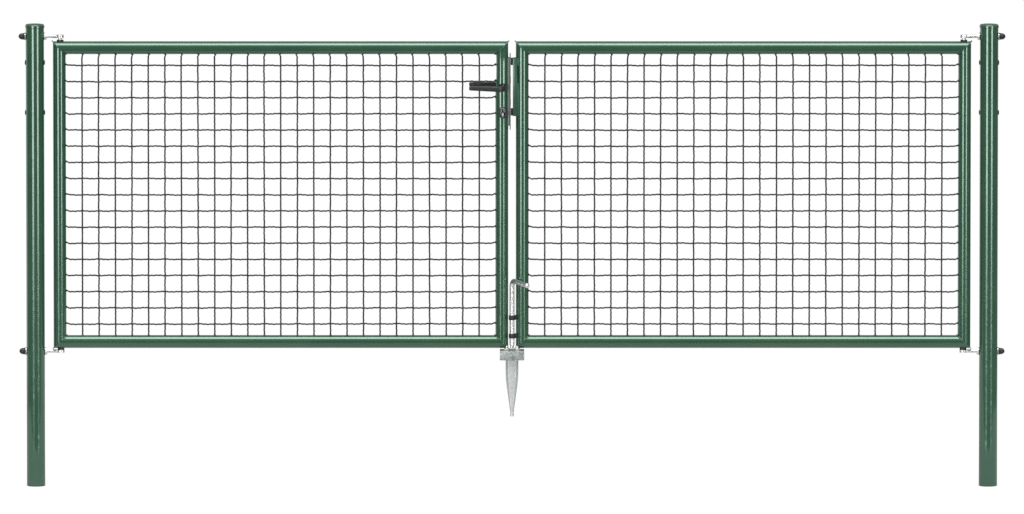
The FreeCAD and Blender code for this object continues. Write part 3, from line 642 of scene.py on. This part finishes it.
def mitredTube(length, cuts=0):
    radius = tube["radius"]
    bm = rod(radius, length, tube["segments"], cuts)
    bmesh.ops.transform(bm, matrix=at(length / 2, 0, 0, "Y", 90), verts=bm.verts)
    for end, slope in ((radius, -1), (length - radius, 1)):
        everything = bm.verts[:] + bm.edges[:] + bm.faces[:]
        cut = bmesh.ops.bisect_plane(bm, geom=everything, plane_co=(end, 0, 0), plane_no=(slope, 0, -1),
                                     clear_outer=True)["geom_cut"]
        close(bm, [item for item in cut if isinstance(item, bmesh.types.BMEdge)])
    return bm


def weldBead(slope):  # a thin ring about the tube, sheared into the mitre's plane
    small = tube["bead"]
    bm = bmesh.new()
    bmesh.ops.create_circle(bm, segments=tube["beadSegments"], radius=small)
    bmesh.ops.translate(bm, vec=(0, tube["radius"] + 0.15 * small, 0), verts=bm.verts)
    bmesh.ops.spin(bm, geom=bm.verts[:] + bm.edges[:], cent=(0, 0, 0), axis=(1, 0, 0), angle=2 * math.pi,
                   steps=tube["segments"], use_merge=True)
    bmesh.ops.remove_doubles(bm, verts=bm.verts, dist=1e-7)
    for vert in bm.verts:
        vert.co.x += slope * vert.co.z
    return bm


# The lock stile is pressed a little flat over the lock's pocket
press = {
    "height": 1.365,
    "reach": 0.058,
    "depth": 0.0009,
    "shift": 0.3,
    "width": 0.5,
    "flank": 0.0028,
    "cuts": 120,
}


def pressStile(bm, x):
    for vert in bm.verts:
        near = math.exp(-((vert.co.z - press["height"]) / press["reach"]) ** 4)
        across = (vert.co.x - x) / tube["radius"]
        squeeze = near * math.exp(-((across - press["shift"]) / press["width"]) ** 2)
        if abs(vert.co.y) > 0.004:
            vert.co.y -= math.copysign(press["depth"] * squeeze, vert.co.y)
        if across < 0:
            vert.co.x -= press["flank"] * near * across


def makeFrame(side):
    low, high = leafBox[side]
    body = side + "_leaf"
    width = high - low
    tall = leafTop - leafBase
    radius = tube["radius"]
    lowStile, highStile = {
        "left": ("_hinge_stile", "_lock_stile"),
        "right": ("_keep_stile", "_hinge_stile"),
    }[side]
    places = {
        "_top_rail": (width, at(low, 0, leafTop - radius)),
        "_bottom_rail": (width, at(low, 0, leafBase + radius, "X", 180)),
        lowStile: (tall, at(low + radius, 0, leafBase, "Y", -90)),
        highStile: (tall, at(high - radius, 0, leafTop, "Y", 90)),
    }
    for tail, (length, place) in places.items():
        pressed = tail == "_lock_stile"
        bm = mitredTube(length, press["cuts"] if pressed else 0)
        bmesh.ops.transform(bm, matrix=place, verts=bm.verts)
        if pressed:
            pressStile(bm, high - radius)
        node = side + tail
        makePiece(pieceName(node), bm, "paint", body, (node,))
    beads = bmesh.new()
    for x, slopes in ((low + radius, (-1, 1)), (high - radius, (1, -1))):
        for z, slope in ((leafTop - radius, slopes[0]), (leafBase + radius, slopes[1])):
            add(beads, weldBead(slope), at(x, 0, z))
    makePiece(side + "CornerWelds", beads, "paint", body, crease=80)


for side in ("left", "right"):
    makeFrame(side)
print("leaf frames made")

# Woven wire: crimped wires over and under each other, welded to the frame
weave = {
    "radius": 0.00255,
    "sides": 8,
    "uprightPitch": 0.0536,
    "crossPitch": 0.0527,
    "overlap": 0.001,
    "steps": 12,
    "ripple": 0.0004,
    "evenRipple": 0.2,
    "crossRipple": 1.6,
    "crimp": 0.0004,
    "crossCrimp": 1.5,
    "wander": 0.0006,
    "hook": 0.0050,
    "hookReach": 0.012,
    "weld": 0.0031,
    "weldLength": 1.5,
    "weldThick": 0.9,
    "weldInset": 0.0006,
    "weldLean": 0.0024,
}


def hookAt(distance):  # how far a wire bends aside near its end
    reach = weave["hookReach"]
    return weave["hook"] * max(0, 1 - distance / reach) ** 2 if distance < reach else 0


def meshWeld(cross):  # a blob of weld at a wire's end, longer along the tube
    blob = bmesh.new()
    bmesh.ops.create_icosphere(blob, subdivisions=1, radius=weave["weld"])
    long = weave["weldLength"] + random.uniform(-0.25, 0.35)
    thick = weave["weldThick"]
    bmesh.ops.scale(blob, vec=(thick, thick, long) if cross else (long, thick, thick), verts=blob.verts)
    return blob


def makeWeave(side):
    low, high = leafBox[side]
    middle = (low + high) / 2
    width = 2 * tube["radius"]
    overlap = weave["overlap"]
    startX = low + width - overlap
    endX = high - width + overlap
    startZ = leafBase + width - overlap
    endZ = leafTop - width + overlap
    pitchX = weave["uprightPitch"]
    pitchZ = weave["crossPitch"]
    countX = int((high - low - 2 * width) // pitchX)
    countZ = int((leafTop - leafBase - 2 * width) // pitchZ)
    firstX = (low + high - (countX - 1) * pitchX) / 2
    firstZ = (leafBase + leafTop - (countZ - 1) * pitchZ) / 2
    columns = [firstX + column * pitchX for column in range(countX)]
    rows = [firstZ + row * pitchZ for row in range(countZ)]
    radius = weave["radius"]
    wander = weave["wander"]
    bm = bmesh.new()
    for column, x in enumerate(columns):
        wire = rod(radius, endZ - startZ, weave["sides"], (countZ + 1) * weave["steps"])
        sign = -1 if column % 2 else 1
        sway = random.uniform(-1, 1) * wander
        phase = random.uniform(0, 6.3)
        lean = 1 if x < middle else -1
        ripple = weave["ripple"] * (1 if column % 2 else weave["evenRipple"])
        for vert in wire.verts:
            z = vert.co.z + (startZ + endZ) / 2
            turn = math.pi * (z - firstZ) / pitchZ
            vert.co.y += sign * radius * math.cos(turn)
            vert.co.x += ripple * math.sin(2 * turn + phase) + sway * math.sin(3 * (z - startZ) + phase)
            vert.co.x += lean * hookAt(endZ - z) + weave["crimp"] * math.sin(7 * turn + phase)
        add(bm, wire, at(x, 0, (startZ + endZ) / 2))
    ripple = weave["ripple"] * weave["crossRipple"]
    crimp = weave["crimp"] * weave["crossCrimp"]
    for row, z in enumerate(rows):
        wire = rod(radius, endX - startX, weave["sides"], (countX + 1) * weave["steps"])
        bmesh.ops.transform(wire, matrix=at(0, 0, 0, "Y", 90), verts=wire.verts)
        sign = 1 if row % 2 else -1
        sway = random.uniform(-1, 1) * wander
        phase = random.uniform(0, 6.3)
        for vert in wire.verts:
            x = vert.co.x + (startX + endX) / 2
            turn = math.pi * (x - firstX) / pitchX
            vert.co.y += sign * radius * math.cos(turn)
            vert.co.z += ripple * math.sin(2 * turn + phase) + sway * math.sin(2.4 * (x - startX) + phase)
            vert.co.z += hookAt(min(endX - x, x - startX)) + crimp * math.sin(7 * turn + phase)
        add(bm, wire, at((startX + endX) / 2, 0, z))
    inset = weave["weldInset"]
    for z in rows:
        for x in (startX + inset, endX - inset):
            add(bm, meshWeld(True), at(x, 0, z + weave["hook"] * 0.6))
    for x in columns:
        for z in (startZ + inset, endZ - inset):
            lean = weave["weldLean"] if x < middle else -weave["weldLean"]
            hooked = z > leafTop - 0.1
            add(bm, meshWeld(False), at(x + (lean if hooked else 0), 0, z))
    nodes = (side + "_mesh_outer", side + "_mesh_inner")
    makePiece(side + "WovenMesh", bm, "wire", side + "_leaf", nodes, crease=80)


for side in ("left", "right"):
    makeWeave(side)
print("woven mesh made")

# Hinge pins at each leaf's top and bottom corner, standing in black bushes
pin = {"radius": 0.006, "edge": 0.0006, "sunk": 0.004}
bush = {"radius": 0.011, "length": 0.011, "edge": 0.0008, "sunk": 0.006}


def makePins(side):
    low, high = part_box(side + "_hinge_pins")
    x = (low.x + high.x) / 2
    radius = pin["radius"]
    edge = pin["edge"]
    shafts = bmesh.new()
    for start, end, turn in ((leafTop - pin["sunk"], high.z, 0), (leafBase + pin["sunk"], low.z, 180)):
        length = abs(end - start)
        profile = [(0, 0), (radius, 0), (radius, length - edge), (radius - edge, length), (0, length)]
        add(shafts, lathe(profile, 40), at(x, 0, start, "X", turn))
    makePiece(side + "HingePins", shafts, "zinc", side + "_leaf", (side + "_hinge_pins",))
    outer = bush["radius"]
    tall = bush["length"]
    edge = bush["edge"]
    collars = bmesh.new()
    for start, turn in ((leafTop - bush["sunk"], 0), (leafBase + bush["sunk"], 180)):
        profile = [(radius, 0), (outer, 0), (outer, tall - edge), (outer - edge, tall), (radius, tall),
                   (radius, 0)]
        add(collars, lathe(profile, 40), at(x, 0, start, "X", turn))
    makePiece(side + "HingeBushes", collars, "plastic", side + "_leaf", (side + "_hinge_bushes",))


for side in ("left", "right"):
    makePins(side)
print("pins and bushes made")

# Lock on the left leaf: faceplate with the noses of latch and bolt
barrelLow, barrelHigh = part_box("lock_cylinder")
spindleLow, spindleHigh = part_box("lever_spindle")
lockX = (barrelLow.x + barrelHigh.x) / 2
spindleZ = (spindleLow.z + spindleHigh.z) / 2
faceplate = {
    "thick": 0.003,
    "corner": 0.0115,
    "edge": 0.0004,
    "screwInset": 0.013,
    "screw": ((0.0012, -0.0004), (0.0012, 0.0002), (0.0034, 0.0002), (0.0038, 0)),
    "noseDrops": (0.078, 0.150),
    "noseSpan": (0.0002, 0.0198),
    "noseHalf": 0.0058,
    "noseEdge": 0.0005,
}


def makeFaceplate():
    low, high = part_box("lock_faceplate")
    face = low.x + faceplate["thick"]
    plate = block((low.x, low.y, low.z), (face, high.y, high.z))
    corners = [edge for edge in plate.edges if abs(edge.verts[0].co.x - edge.verts[1].co.x) > 0.001]
    roundEdges(plate, corners, faceplate["corner"], 10)
    rims = [edge for edge in plate.edges if len(edge.link_faces) == 2 and edge.calc_face_angle() > 1]
    roundEdges(plate, rims, faceplate["edge"])
    bm = bmesh.new()
    add(bm, plate)
    for z in (low.z + faceplate["screwInset"], high.z - faceplate["screwInset"]):
        add(bm, lathe(faceplate["screw"], 28), at(face, 0, z, "Y", 90))
    # The faceplate's near-black colour is painted shade for its steel's dark reflection
    makePiece("lockPlate", bm, "plateSteel", "left_leaf", ("lock_faceplate",))
    noses = bmesh.new()
    start, end = faceplate["noseSpan"]
    half = faceplate["noseHalf"]
    for drop in faceplate["noseDrops"]:
        top = high.z - drop
        nose = block((face - 0.001, -half, top - end), (high.x, half, top - start), faceplate["noseEdge"])
        add(noses, nose)
    makePiece("boltNoses", noses, "zinc", "left_leaf")


# Profile cylinder with near-black blocks in its key slots as painted shade, in an oval collar on each side
cylinder = {
    "radius": 0.0085,
    "core": 0.0062,
    "edge": 0.0005,
    "recess": 0.0006,
    "groove": 0.0009,
    "web": 0.0100,
    "webCorner": 0.0045,
    "drop": 0.0245,
}
keySlotShade = {
    "cuts": ((-0.0013, 0.0013, -0.0085, 0.0048), (-0.0020, 0.0008, -0.0015, 0.0006)),
    "depths": (0.0005, 0.0040),
    "edge": 0.0003,
}
collar = {
    "profile": ((0.0088, 0.016), (0.0138, 0.016), (0.0140, 0.0222), (0.0126, 0.0236), (0.0100, 0.0240),
                (0.0088, 0.0236), (0.0088, 0.016)),
    "oval": (0.92, 1.42, 1),
    "drop": 0.0075,
}


def makeCylinder():
    low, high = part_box("lock_cylinder")
    half = (high.y - low.y) / 2
    barrel = cylinder["radius"]
    centre = barrelHigh.z - barrel
    core = cylinder["core"]
    edge = cylinder["edge"]
    inner = half - cylinder["recess"]
    groove = half - cylinder["groove"]
    profile = [(0, inner), (core - 0.0003, inner), (core, groove), (core + 0.0004, groove),
               (core + 0.0007, half), (barrel - edge, half), (barrel, half - edge)]
    profile += [(radius, -height) for radius, height in reversed(profile)]
    bm = bmesh.new()
    add(bm, lathe(profile, 56), at(lockX, 0, centre, "X", 90))
    web = cylinder["web"] / 2
    add(bm, block((lockX - web, low.y + 0.0002, centre - cylinder["drop"]),
                  (lockX + web, high.y - 0.0002, centre - 0.004), cylinder["webCorner"], 5))
    makePiece("lockBarrel", bm, "barrelSteel", "left_leaf", ("lock_cylinder",))
    # Key slots: near-black blocks just under the face, painted as the shade in the keyway
    slotShades = bmesh.new()
    for face, way in ((low.y, 1), (high.y, -1)):
        near, far = sorted(face + way * depth for depth in keySlotShade["depths"])
        for left, right, base, top in keySlotShade["cuts"]:
            add(slotShades, block((lockX + left, near, centre + base), (lockX + right, far, centre + top),
                             keySlotShade["edge"]))
    makePiece("keySlots", slotShades, "void", "left_leaf")
    collars = bmesh.new()
    for way in (-1, 1):
        oval = lathe(collar["profile"])
        bmesh.ops.scale(oval, vec=collar["oval"], verts=oval.verts)
        add(collars, oval, at(lockX, 0, centre - collar["drop"], "X", -90 * way))
    # The collars share the faceplate's near-black colour, which is painted shade
    makePiece("cylinderCollars", collars, "plateSteel", "left_leaf")


# Roses and levers on the spindle
rose = {
    "profile": ((0.0104, 0.012), (0.0121, 0.012), (0.0125, 0.0262), (0.0118, 0.0276), (0.0107, 0.0280),
                (0.0104, 0.0277), (0.0104, 0.012)),
}


def makeRoses():
    bm = bmesh.new()
    for way in (-1, 1):
        add(bm, lathe(rose["profile"]), at(lockX, 0, spindleZ, "X", -90 * way))
    makePiece("leverRoses", bm, "plastic", "left_leaf", ("lever_roses",))


lever = {
    "start": 0.0216,
    "reach": 0.055,
    "bend": 0.014,
    "length": 0.109,
    "thick": 0.012,
    "height": 0.0182,
    "tip": 0.0142,
    "square": 0.55,
    "steps": 10,
    "thinning": 0.99,
    "nose": ((0.93, 0.0018), (0.8, 0.0013), (0.55, 0.0009)),
    "noseLength": 0.004,
    "hub": ((0, 0.0284), (0.0112, 0.0284), (0.0120, 0.0292), (0.0120, 0.0370), (0.0108, 0.0384),
            (0, 0.0384)),
    "hubOval": (1.08, 0.86, 1),
    "lean": {"front": 0.0030, "back": 0.0010},  # how far the tip stands over the hub's end
    "drop": {"front": 0.0020, "back": -0.0005},
}


def squareUp(bm):  # the ring lies in XZ and becomes a rounded rectangle
    power = lever["square"]
    for vert in bm.verts:
        angle = math.atan2(vert.co.z, vert.co.x)
        cos = math.cos(angle)
        sin = math.sin(angle)
        vert.co.x = lever["thick"] / 2 * math.copysign(abs(cos) ** power, cos)
        vert.co.z = lever["height"] / 2 * math.copysign(abs(sin) ** power, sin)


def makeLever(face):
    way = {"front": -1, "back": 1}[face]
    lean = lever["lean"][face]
    bm, ring = newRing(32, 1)
    bmesh.ops.transform(bm, matrix=at(0, 0, 0, "X", 90), verts=bm.verts)
    squareUp(bm)
    bmesh.ops.translate(bm, vec=(0, way * lever["start"], 0), verts=bm.verts)
    run = lever["reach"] - lever["bend"] - lever["start"]
    ring = grow(bm, ring, at(0, way * run * 0.6, 0))
    ring = grow(bm, ring, at(0, way * run * 0.4, 0))
    centre = (-lever["bend"], way * (lever["reach"] - lever["bend"]), 0)
    ring = bend(bm, ring, centre, "Z", 90 * way, 8)
    arm = lever["length"] - lever["bend"]
    steps = lever["steps"]
    shrink = (lever["tip"] / lever["height"]) ** (1 / steps)
    for _ in range(steps):
        ring = grow(bm, ring, at(-(arm - lever["noseLength"]) / steps, 0, lean / steps))
        taper(bm, ring, (1, lever["thinning"], shrink))
    for inset, along in lever["nose"]:
        ring = grow(bm, ring, at(-along, 0, 0))
        taper(bm, ring, (1, inset, inset))
    close(bm, ring)
    hub = lathe(lever["hub"], 40)
    bmesh.ops.scale(hub, vec=lever["hubOval"], verts=hub.verts)
    add(bm, hub, at(0, 0, 0, "X", -90 * way))
    bmesh.ops.translate(bm, vec=(lockX, 0, spindleZ - lean / 2 - lever["drop"][face]), verts=bm.verts)
    makePiece(face + "Lever", bm, "lever", "levers", (face + "_lever",))


def dress(node, finish):  # a CAD solid that stays as it is
    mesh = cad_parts[node].data
    mesh.materials.clear()
    mesh.materials.append(finishes[finish][0])


makeFaceplate()
makeCylinder()
makeRoses()
makeLever("front")
makeLever("back")
dress("lock_case", "caseSteel")
dress("lever_spindle", "zinc")
print("lock made")

# Keep on the right leaf: channel with a notch filled by a near-black block as painted shade, buffers and the
# drop bolt's guides
notchShade = {"near": 0.0178, "far": 0.0224, "front": 0.0174, "back": 0.0150, "base": 1.3155, "top": 1.3715}

softened("keepChannel", "keep_channel", 0.0004, "keepPaint", "right_leaf")
softened("keepBuffers", "keep_buffers", 0.0012, "rubber", "right_leaf", 3)
softened("boltGuides", "bolt_guides", 0.0006, "plastic", "right_leaf")
# A near-black block fills the notch, painted as the shade of a deep gap
notchShadeFill = block((middleX + notchShade["near"], -notchShade["front"], notchShade["base"]),
                  (middleX + notchShade["far"], -notchShade["back"], notchShade["top"]))
makePiece("keepNotch", notchShadeFill, "void", "right_leaf")

# Drop bolt: turned tip, straight shank and a bent handle
dropBolt = {
    "radius": 0.008,
    "tip": 0.006,
    "tipLength": 0.011,
    "edge": 0.0012,
    "bend": 0.020,
    "height": 0.222,
    "handle": 0.118,
    "end": ((0.9, 0.0012), (0.7, 0.0008)),
    "endLength": 0.002,
    "turn": 65,
    "droop": 3,
    "y": -0.016,
}


def makeDropBolt():
    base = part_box("drop_bolt")[0].z
    radius = dropBolt["radius"]
    tip = dropBolt["tip"]
    edge = dropBolt["edge"]
    straight = dropBolt["height"] - dropBolt["bend"]
    bm, ring = newRing(40, tip - edge)
    ring = grow(bm, ring, at(0, 0, edge))
    taper(bm, ring, (tip / (tip - edge), tip / (tip - edge), 1))
    ring = grow(bm, ring, at(0, 0, dropBolt["tipLength"] - edge))
    ring = grow(bm, ring, at(0, 0, edge))
    taper(bm, ring, (radius / tip, radius / tip, 1))
    ring = grow(bm, ring, at(0, 0, straight - dropBolt["tipLength"] - edge))
    ring = bend(bm, ring, (dropBolt["bend"], 0, straight), "Y", 90 + dropBolt["droop"], 14)
    droop = math.radians(dropBolt["droop"])
    along = Vector((math.cos(droop), 0, -math.sin(droop)))
    handle = dropBolt["handle"] - dropBolt["bend"] - dropBolt["endLength"]
    ring = grow(bm, ring, Matrix.Translation(along * handle))
    for inset, step in dropBolt["end"]:
        ring = grow(bm, ring, Matrix.Translation(along * step))
        taper(bm, ring, (inset, inset, inset))
    close(bm, ring)
    bmesh.ops.transform(bm, matrix=at(middleX, dropBolt["y"], base, "Z", -dropBolt["turn"]), verts=bm.verts)
    makePiece("boltRod", bm, "zinc", "bolt", ("drop_bolt",))


# Spike of the ground socket: thin sheet with bent edges, tapering to its point
spike = {
    "widths": ((0, 0.0415), (0.25, 0.0415), (0.36, 0.0405), (0.48, 0.0370), (0.58, 0.0320), (0.70, 0.0255),
               (0.80, 0.0195), (0.87, 0.0155), (0.93, 0.0135), (1, 0.0130)),
    "bow": 0.0015,
    "flange": 0.0085,
    "fold": 0.65,
    "foldSlope": 2.9,
    "steel": 0.0028,
    "inset": 0.0005,
    "columns": 20,
    "rows": 60,
}


def spikeWidth(part):
    for (low, wide), (high, narrow) in zip(spike["widths"], spike["widths"][1:]):
        if part <= high:
            return wide + (narrow - wide) * (part - low) / (high - low)
    return spike["widths"][-1][1]


def makeSpike():
    low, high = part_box("ground_spike")
    tall = high.z - low.z
    face = low.y + spike["inset"]
    bm = bmesh.new()
    bmesh.ops.create_grid(bm, x_segments=spike["columns"], y_segments=spike["rows"], size=1)
    for vert in bm.verts:
        part = (1 - vert.co.y) / 2
        across = vert.co.x * spikeWidth(part) / 2
        folded = max(0, abs(vert.co.x) - spike["fold"]) * spike["foldSlope"]
        back = spike["bow"] * vert.co.x ** 2 + spike["flange"] * folded
        vert.co = (middleX + across, face + back, high.z - part * tall)
    bmesh.ops.recalc_face_normals(bm, faces=bm.faces)
    if bm.faces[:][0].normal.y > 0:
        bmesh.ops.reverse_faces(bm, faces=bm.faces)
    bmesh.ops.solidify(bm, geom=bm.faces[:], thickness=spike["steel"])
    makePiece("groundSpike", bm, "spike", "posts", ("ground_spike",))


makeDropBolt()
softened("groundSocket", "ground_socket", 0.0012, "galvanised", "posts", 3)
makeSpike()
softened("leafStops", "leaf_stops", 0.0005, "zinc", "posts")
print("bolt, socket and spike made")

# Studio: lamps painted on the world, with a white backdrop behind, angles in degrees
studio = {
    "strips": ((-25, 10.5, 6.6), (36, 9, 6.2), (160, 14, 1.5), (-150, 14, 1.5)),  # bearing, half, strength
    "stripEdge": 1.5,
    "stripTop": (11, 16),
    "stripBase": (-6.56, -6.34),
    "overhead": 5.4,
    "overheadSide": (60, 84),
    "overheadRise": (51, 55),
    "dome": 0.3,
    "domeRise": (15, 40),
    "room": 0.22,
    "ground": 0.30,
    "backdrop": 19,
    "backdropSide": (124, 138),
    "backdropTop": (-2, 3),
}


def seenRays(root):
    camera = root.node("ShaderNodeLightPath", output="Is Camera Ray")
    glossy = root.node("ShaderNodeLightPath", output="Is Glossy Ray")
    through = root.node("ShaderNodeLightPath", output="Is Transmission Ray")
    return camera, glossy + through


def makeWorld():
    world = bpy.data.worlds.new("studioWorld")
    bpy.context.scene.world = world
    world.use_nodes = True
    tree = world.node_tree
    tree.nodes.clear()
    root = Signal(tree)
    ray = root.node("ShaderNodeTexCoord", output="Generated")
    x, y, z = (ray.node("ShaderNodeSeparateXYZ", None, {"Vector": ray}, axis) for axis in range(3))
    toDegrees = 180 / math.pi
    azimuth = x.maths("ARCTAN2", -y) * toDegrees
    rise = z.maths("ARCSINE") * toDegrees

    def away(centre):  # degrees from a bearing, the short way round
        turned = (azimuth - (centre - 180)).maths("WRAP", 360, 0) - 180
        return turned.maths("ABSOLUTE")

    strips = 0
    edge = studio["stripEdge"]
    for centre, half, power in studio["strips"]:
        strips = (1 - away(centre).step(half - edge, half + edge)) * power + strips
    strips = strips * rise.step(*studio["stripBase"]) * (1 - rise.step(*studio["stripTop"]))
    overhead = 1 - away(0).step(*studio["overheadSide"])
    overhead = overhead * rise.step(*studio["overheadRise"]) * studio["overhead"]
    dome = rise.step(*studio["domeRise"]) * studio["dome"]
    below = 1 - rise.step(*studio["stripBase"])
    ground = below * (studio["ground"] - studio["room"]) + studio["room"]
    lamps = {"Color": (1, 1, 1, 1), "Strength": strips + overhead + dome + ground}
    light = root.node("ShaderNodeBackground", None, lamps)
    white = root.node("ShaderNodeBackground", None, {"Color": (1, 1, 1, 1), "Strength": 1.0})
    camera, mirrored = seenRays(root)
    behind = away(studio["backdrop"]).step(*studio["backdropSide"])
    behind = behind * (1 - rise.step(*studio["backdropTop"]))
    mixed = root.node("ShaderNodeMixShader", None, {0: mirrored * behind + camera, 1: light, 2: white})
    link(mixed, tree.nodes.new("ShaderNodeOutputWorld"), "Surface")


# Floor: white to the camera, with the gate's shadow, and grey in the light that it throws back
floorLook = {
    "centreY": 0.8,
    "halfSizes": (3.6, 1.8),
    "sunk": 0.0002,
    "matt": (0.4, 0.4, 0.4, 1),
    "pale": (0.95, 0.95, 0.95, 1),
    "glow": 1.05,
    "glowShare": 0.8,
    "mirrorShare": 0.45,
}


def makeFloor():
    bm = bmesh.new()
    bmesh.ops.create_grid(bm, x_segments=2, y_segments=2, size=1)
    spread = Matrix.Diagonal((*floorLook["halfSizes"], 1, 1))
    place = at(middleX, floorLook["centreY"], -floorLook["sunk"])
    bmesh.ops.transform(bm, matrix=place @ spread, verts=bm.verts)
    mesh = bpy.data.meshes.new("studioFloor")
    bm.to_mesh(mesh)
    bm.free()
    floor = bpy.data.objects.new("studioFloor", mesh)
    bpy.context.scene.collection.objects.link(floor)
    material = bpy.data.materials.new("paleFloor")
    material.use_nodes = True
    tree = material.node_tree
    tree.nodes.clear()
    root = Signal(tree)
    matt = root.node("ShaderNodeBsdfDiffuse", None, {"Color": floorLook["matt"]})
    pale = root.node("ShaderNodeBsdfDiffuse", None, {"Color": floorLook["pale"]})
    glow = root.node("ShaderNodeEmission", None, {"Color": (1, 1, 1, 1), "Strength": floorLook["glow"]})
    shown = root.node("ShaderNodeMixShader", None, {0: floorLook["glowShare"], 1: pale, 2: glow})
    camera, mirrored = seenRays(root)
    share = mirrored * floorLook["mirrorShare"] + camera
    mixed = root.node("ShaderNodeMixShader", None, {0: share, 1: matt, 2: shown})
    link(mixed, tree.nodes.new("ShaderNodeOutputMaterial"), "Surface")
    mesh.materials.append(material)


view = {"distance": 60.0, "elevation": 6.5, "target": (middleX, 0, 0.747), "span": 3.32, "clip": (1, 200)}


def makeCamera():
    data = bpy.data.cameras.new("studioCamera")
    camera = bpy.data.objects.new("studioCamera", data)
    bpy.context.scene.collection.objects.link(camera)
    tilt = math.radians(view["elevation"])
    back = Vector((0, -math.cos(tilt), math.sin(tilt)))
    camera.location = Vector(view["target"]) + back * view["distance"]
    camera.rotation_euler = (-back).to_track_quat("-Z", "Y").to_euler()
    data.lens = data.sensor_width * view["distance"] / view["span"]
    data.clip_start, data.clip_end = view["clip"]
    bpy.context.scene.camera = camera


makeWorld()
makeFloor()
makeCamera()
bpy.context.scene.view_settings.view_transform = "Standard"
print("studio made")
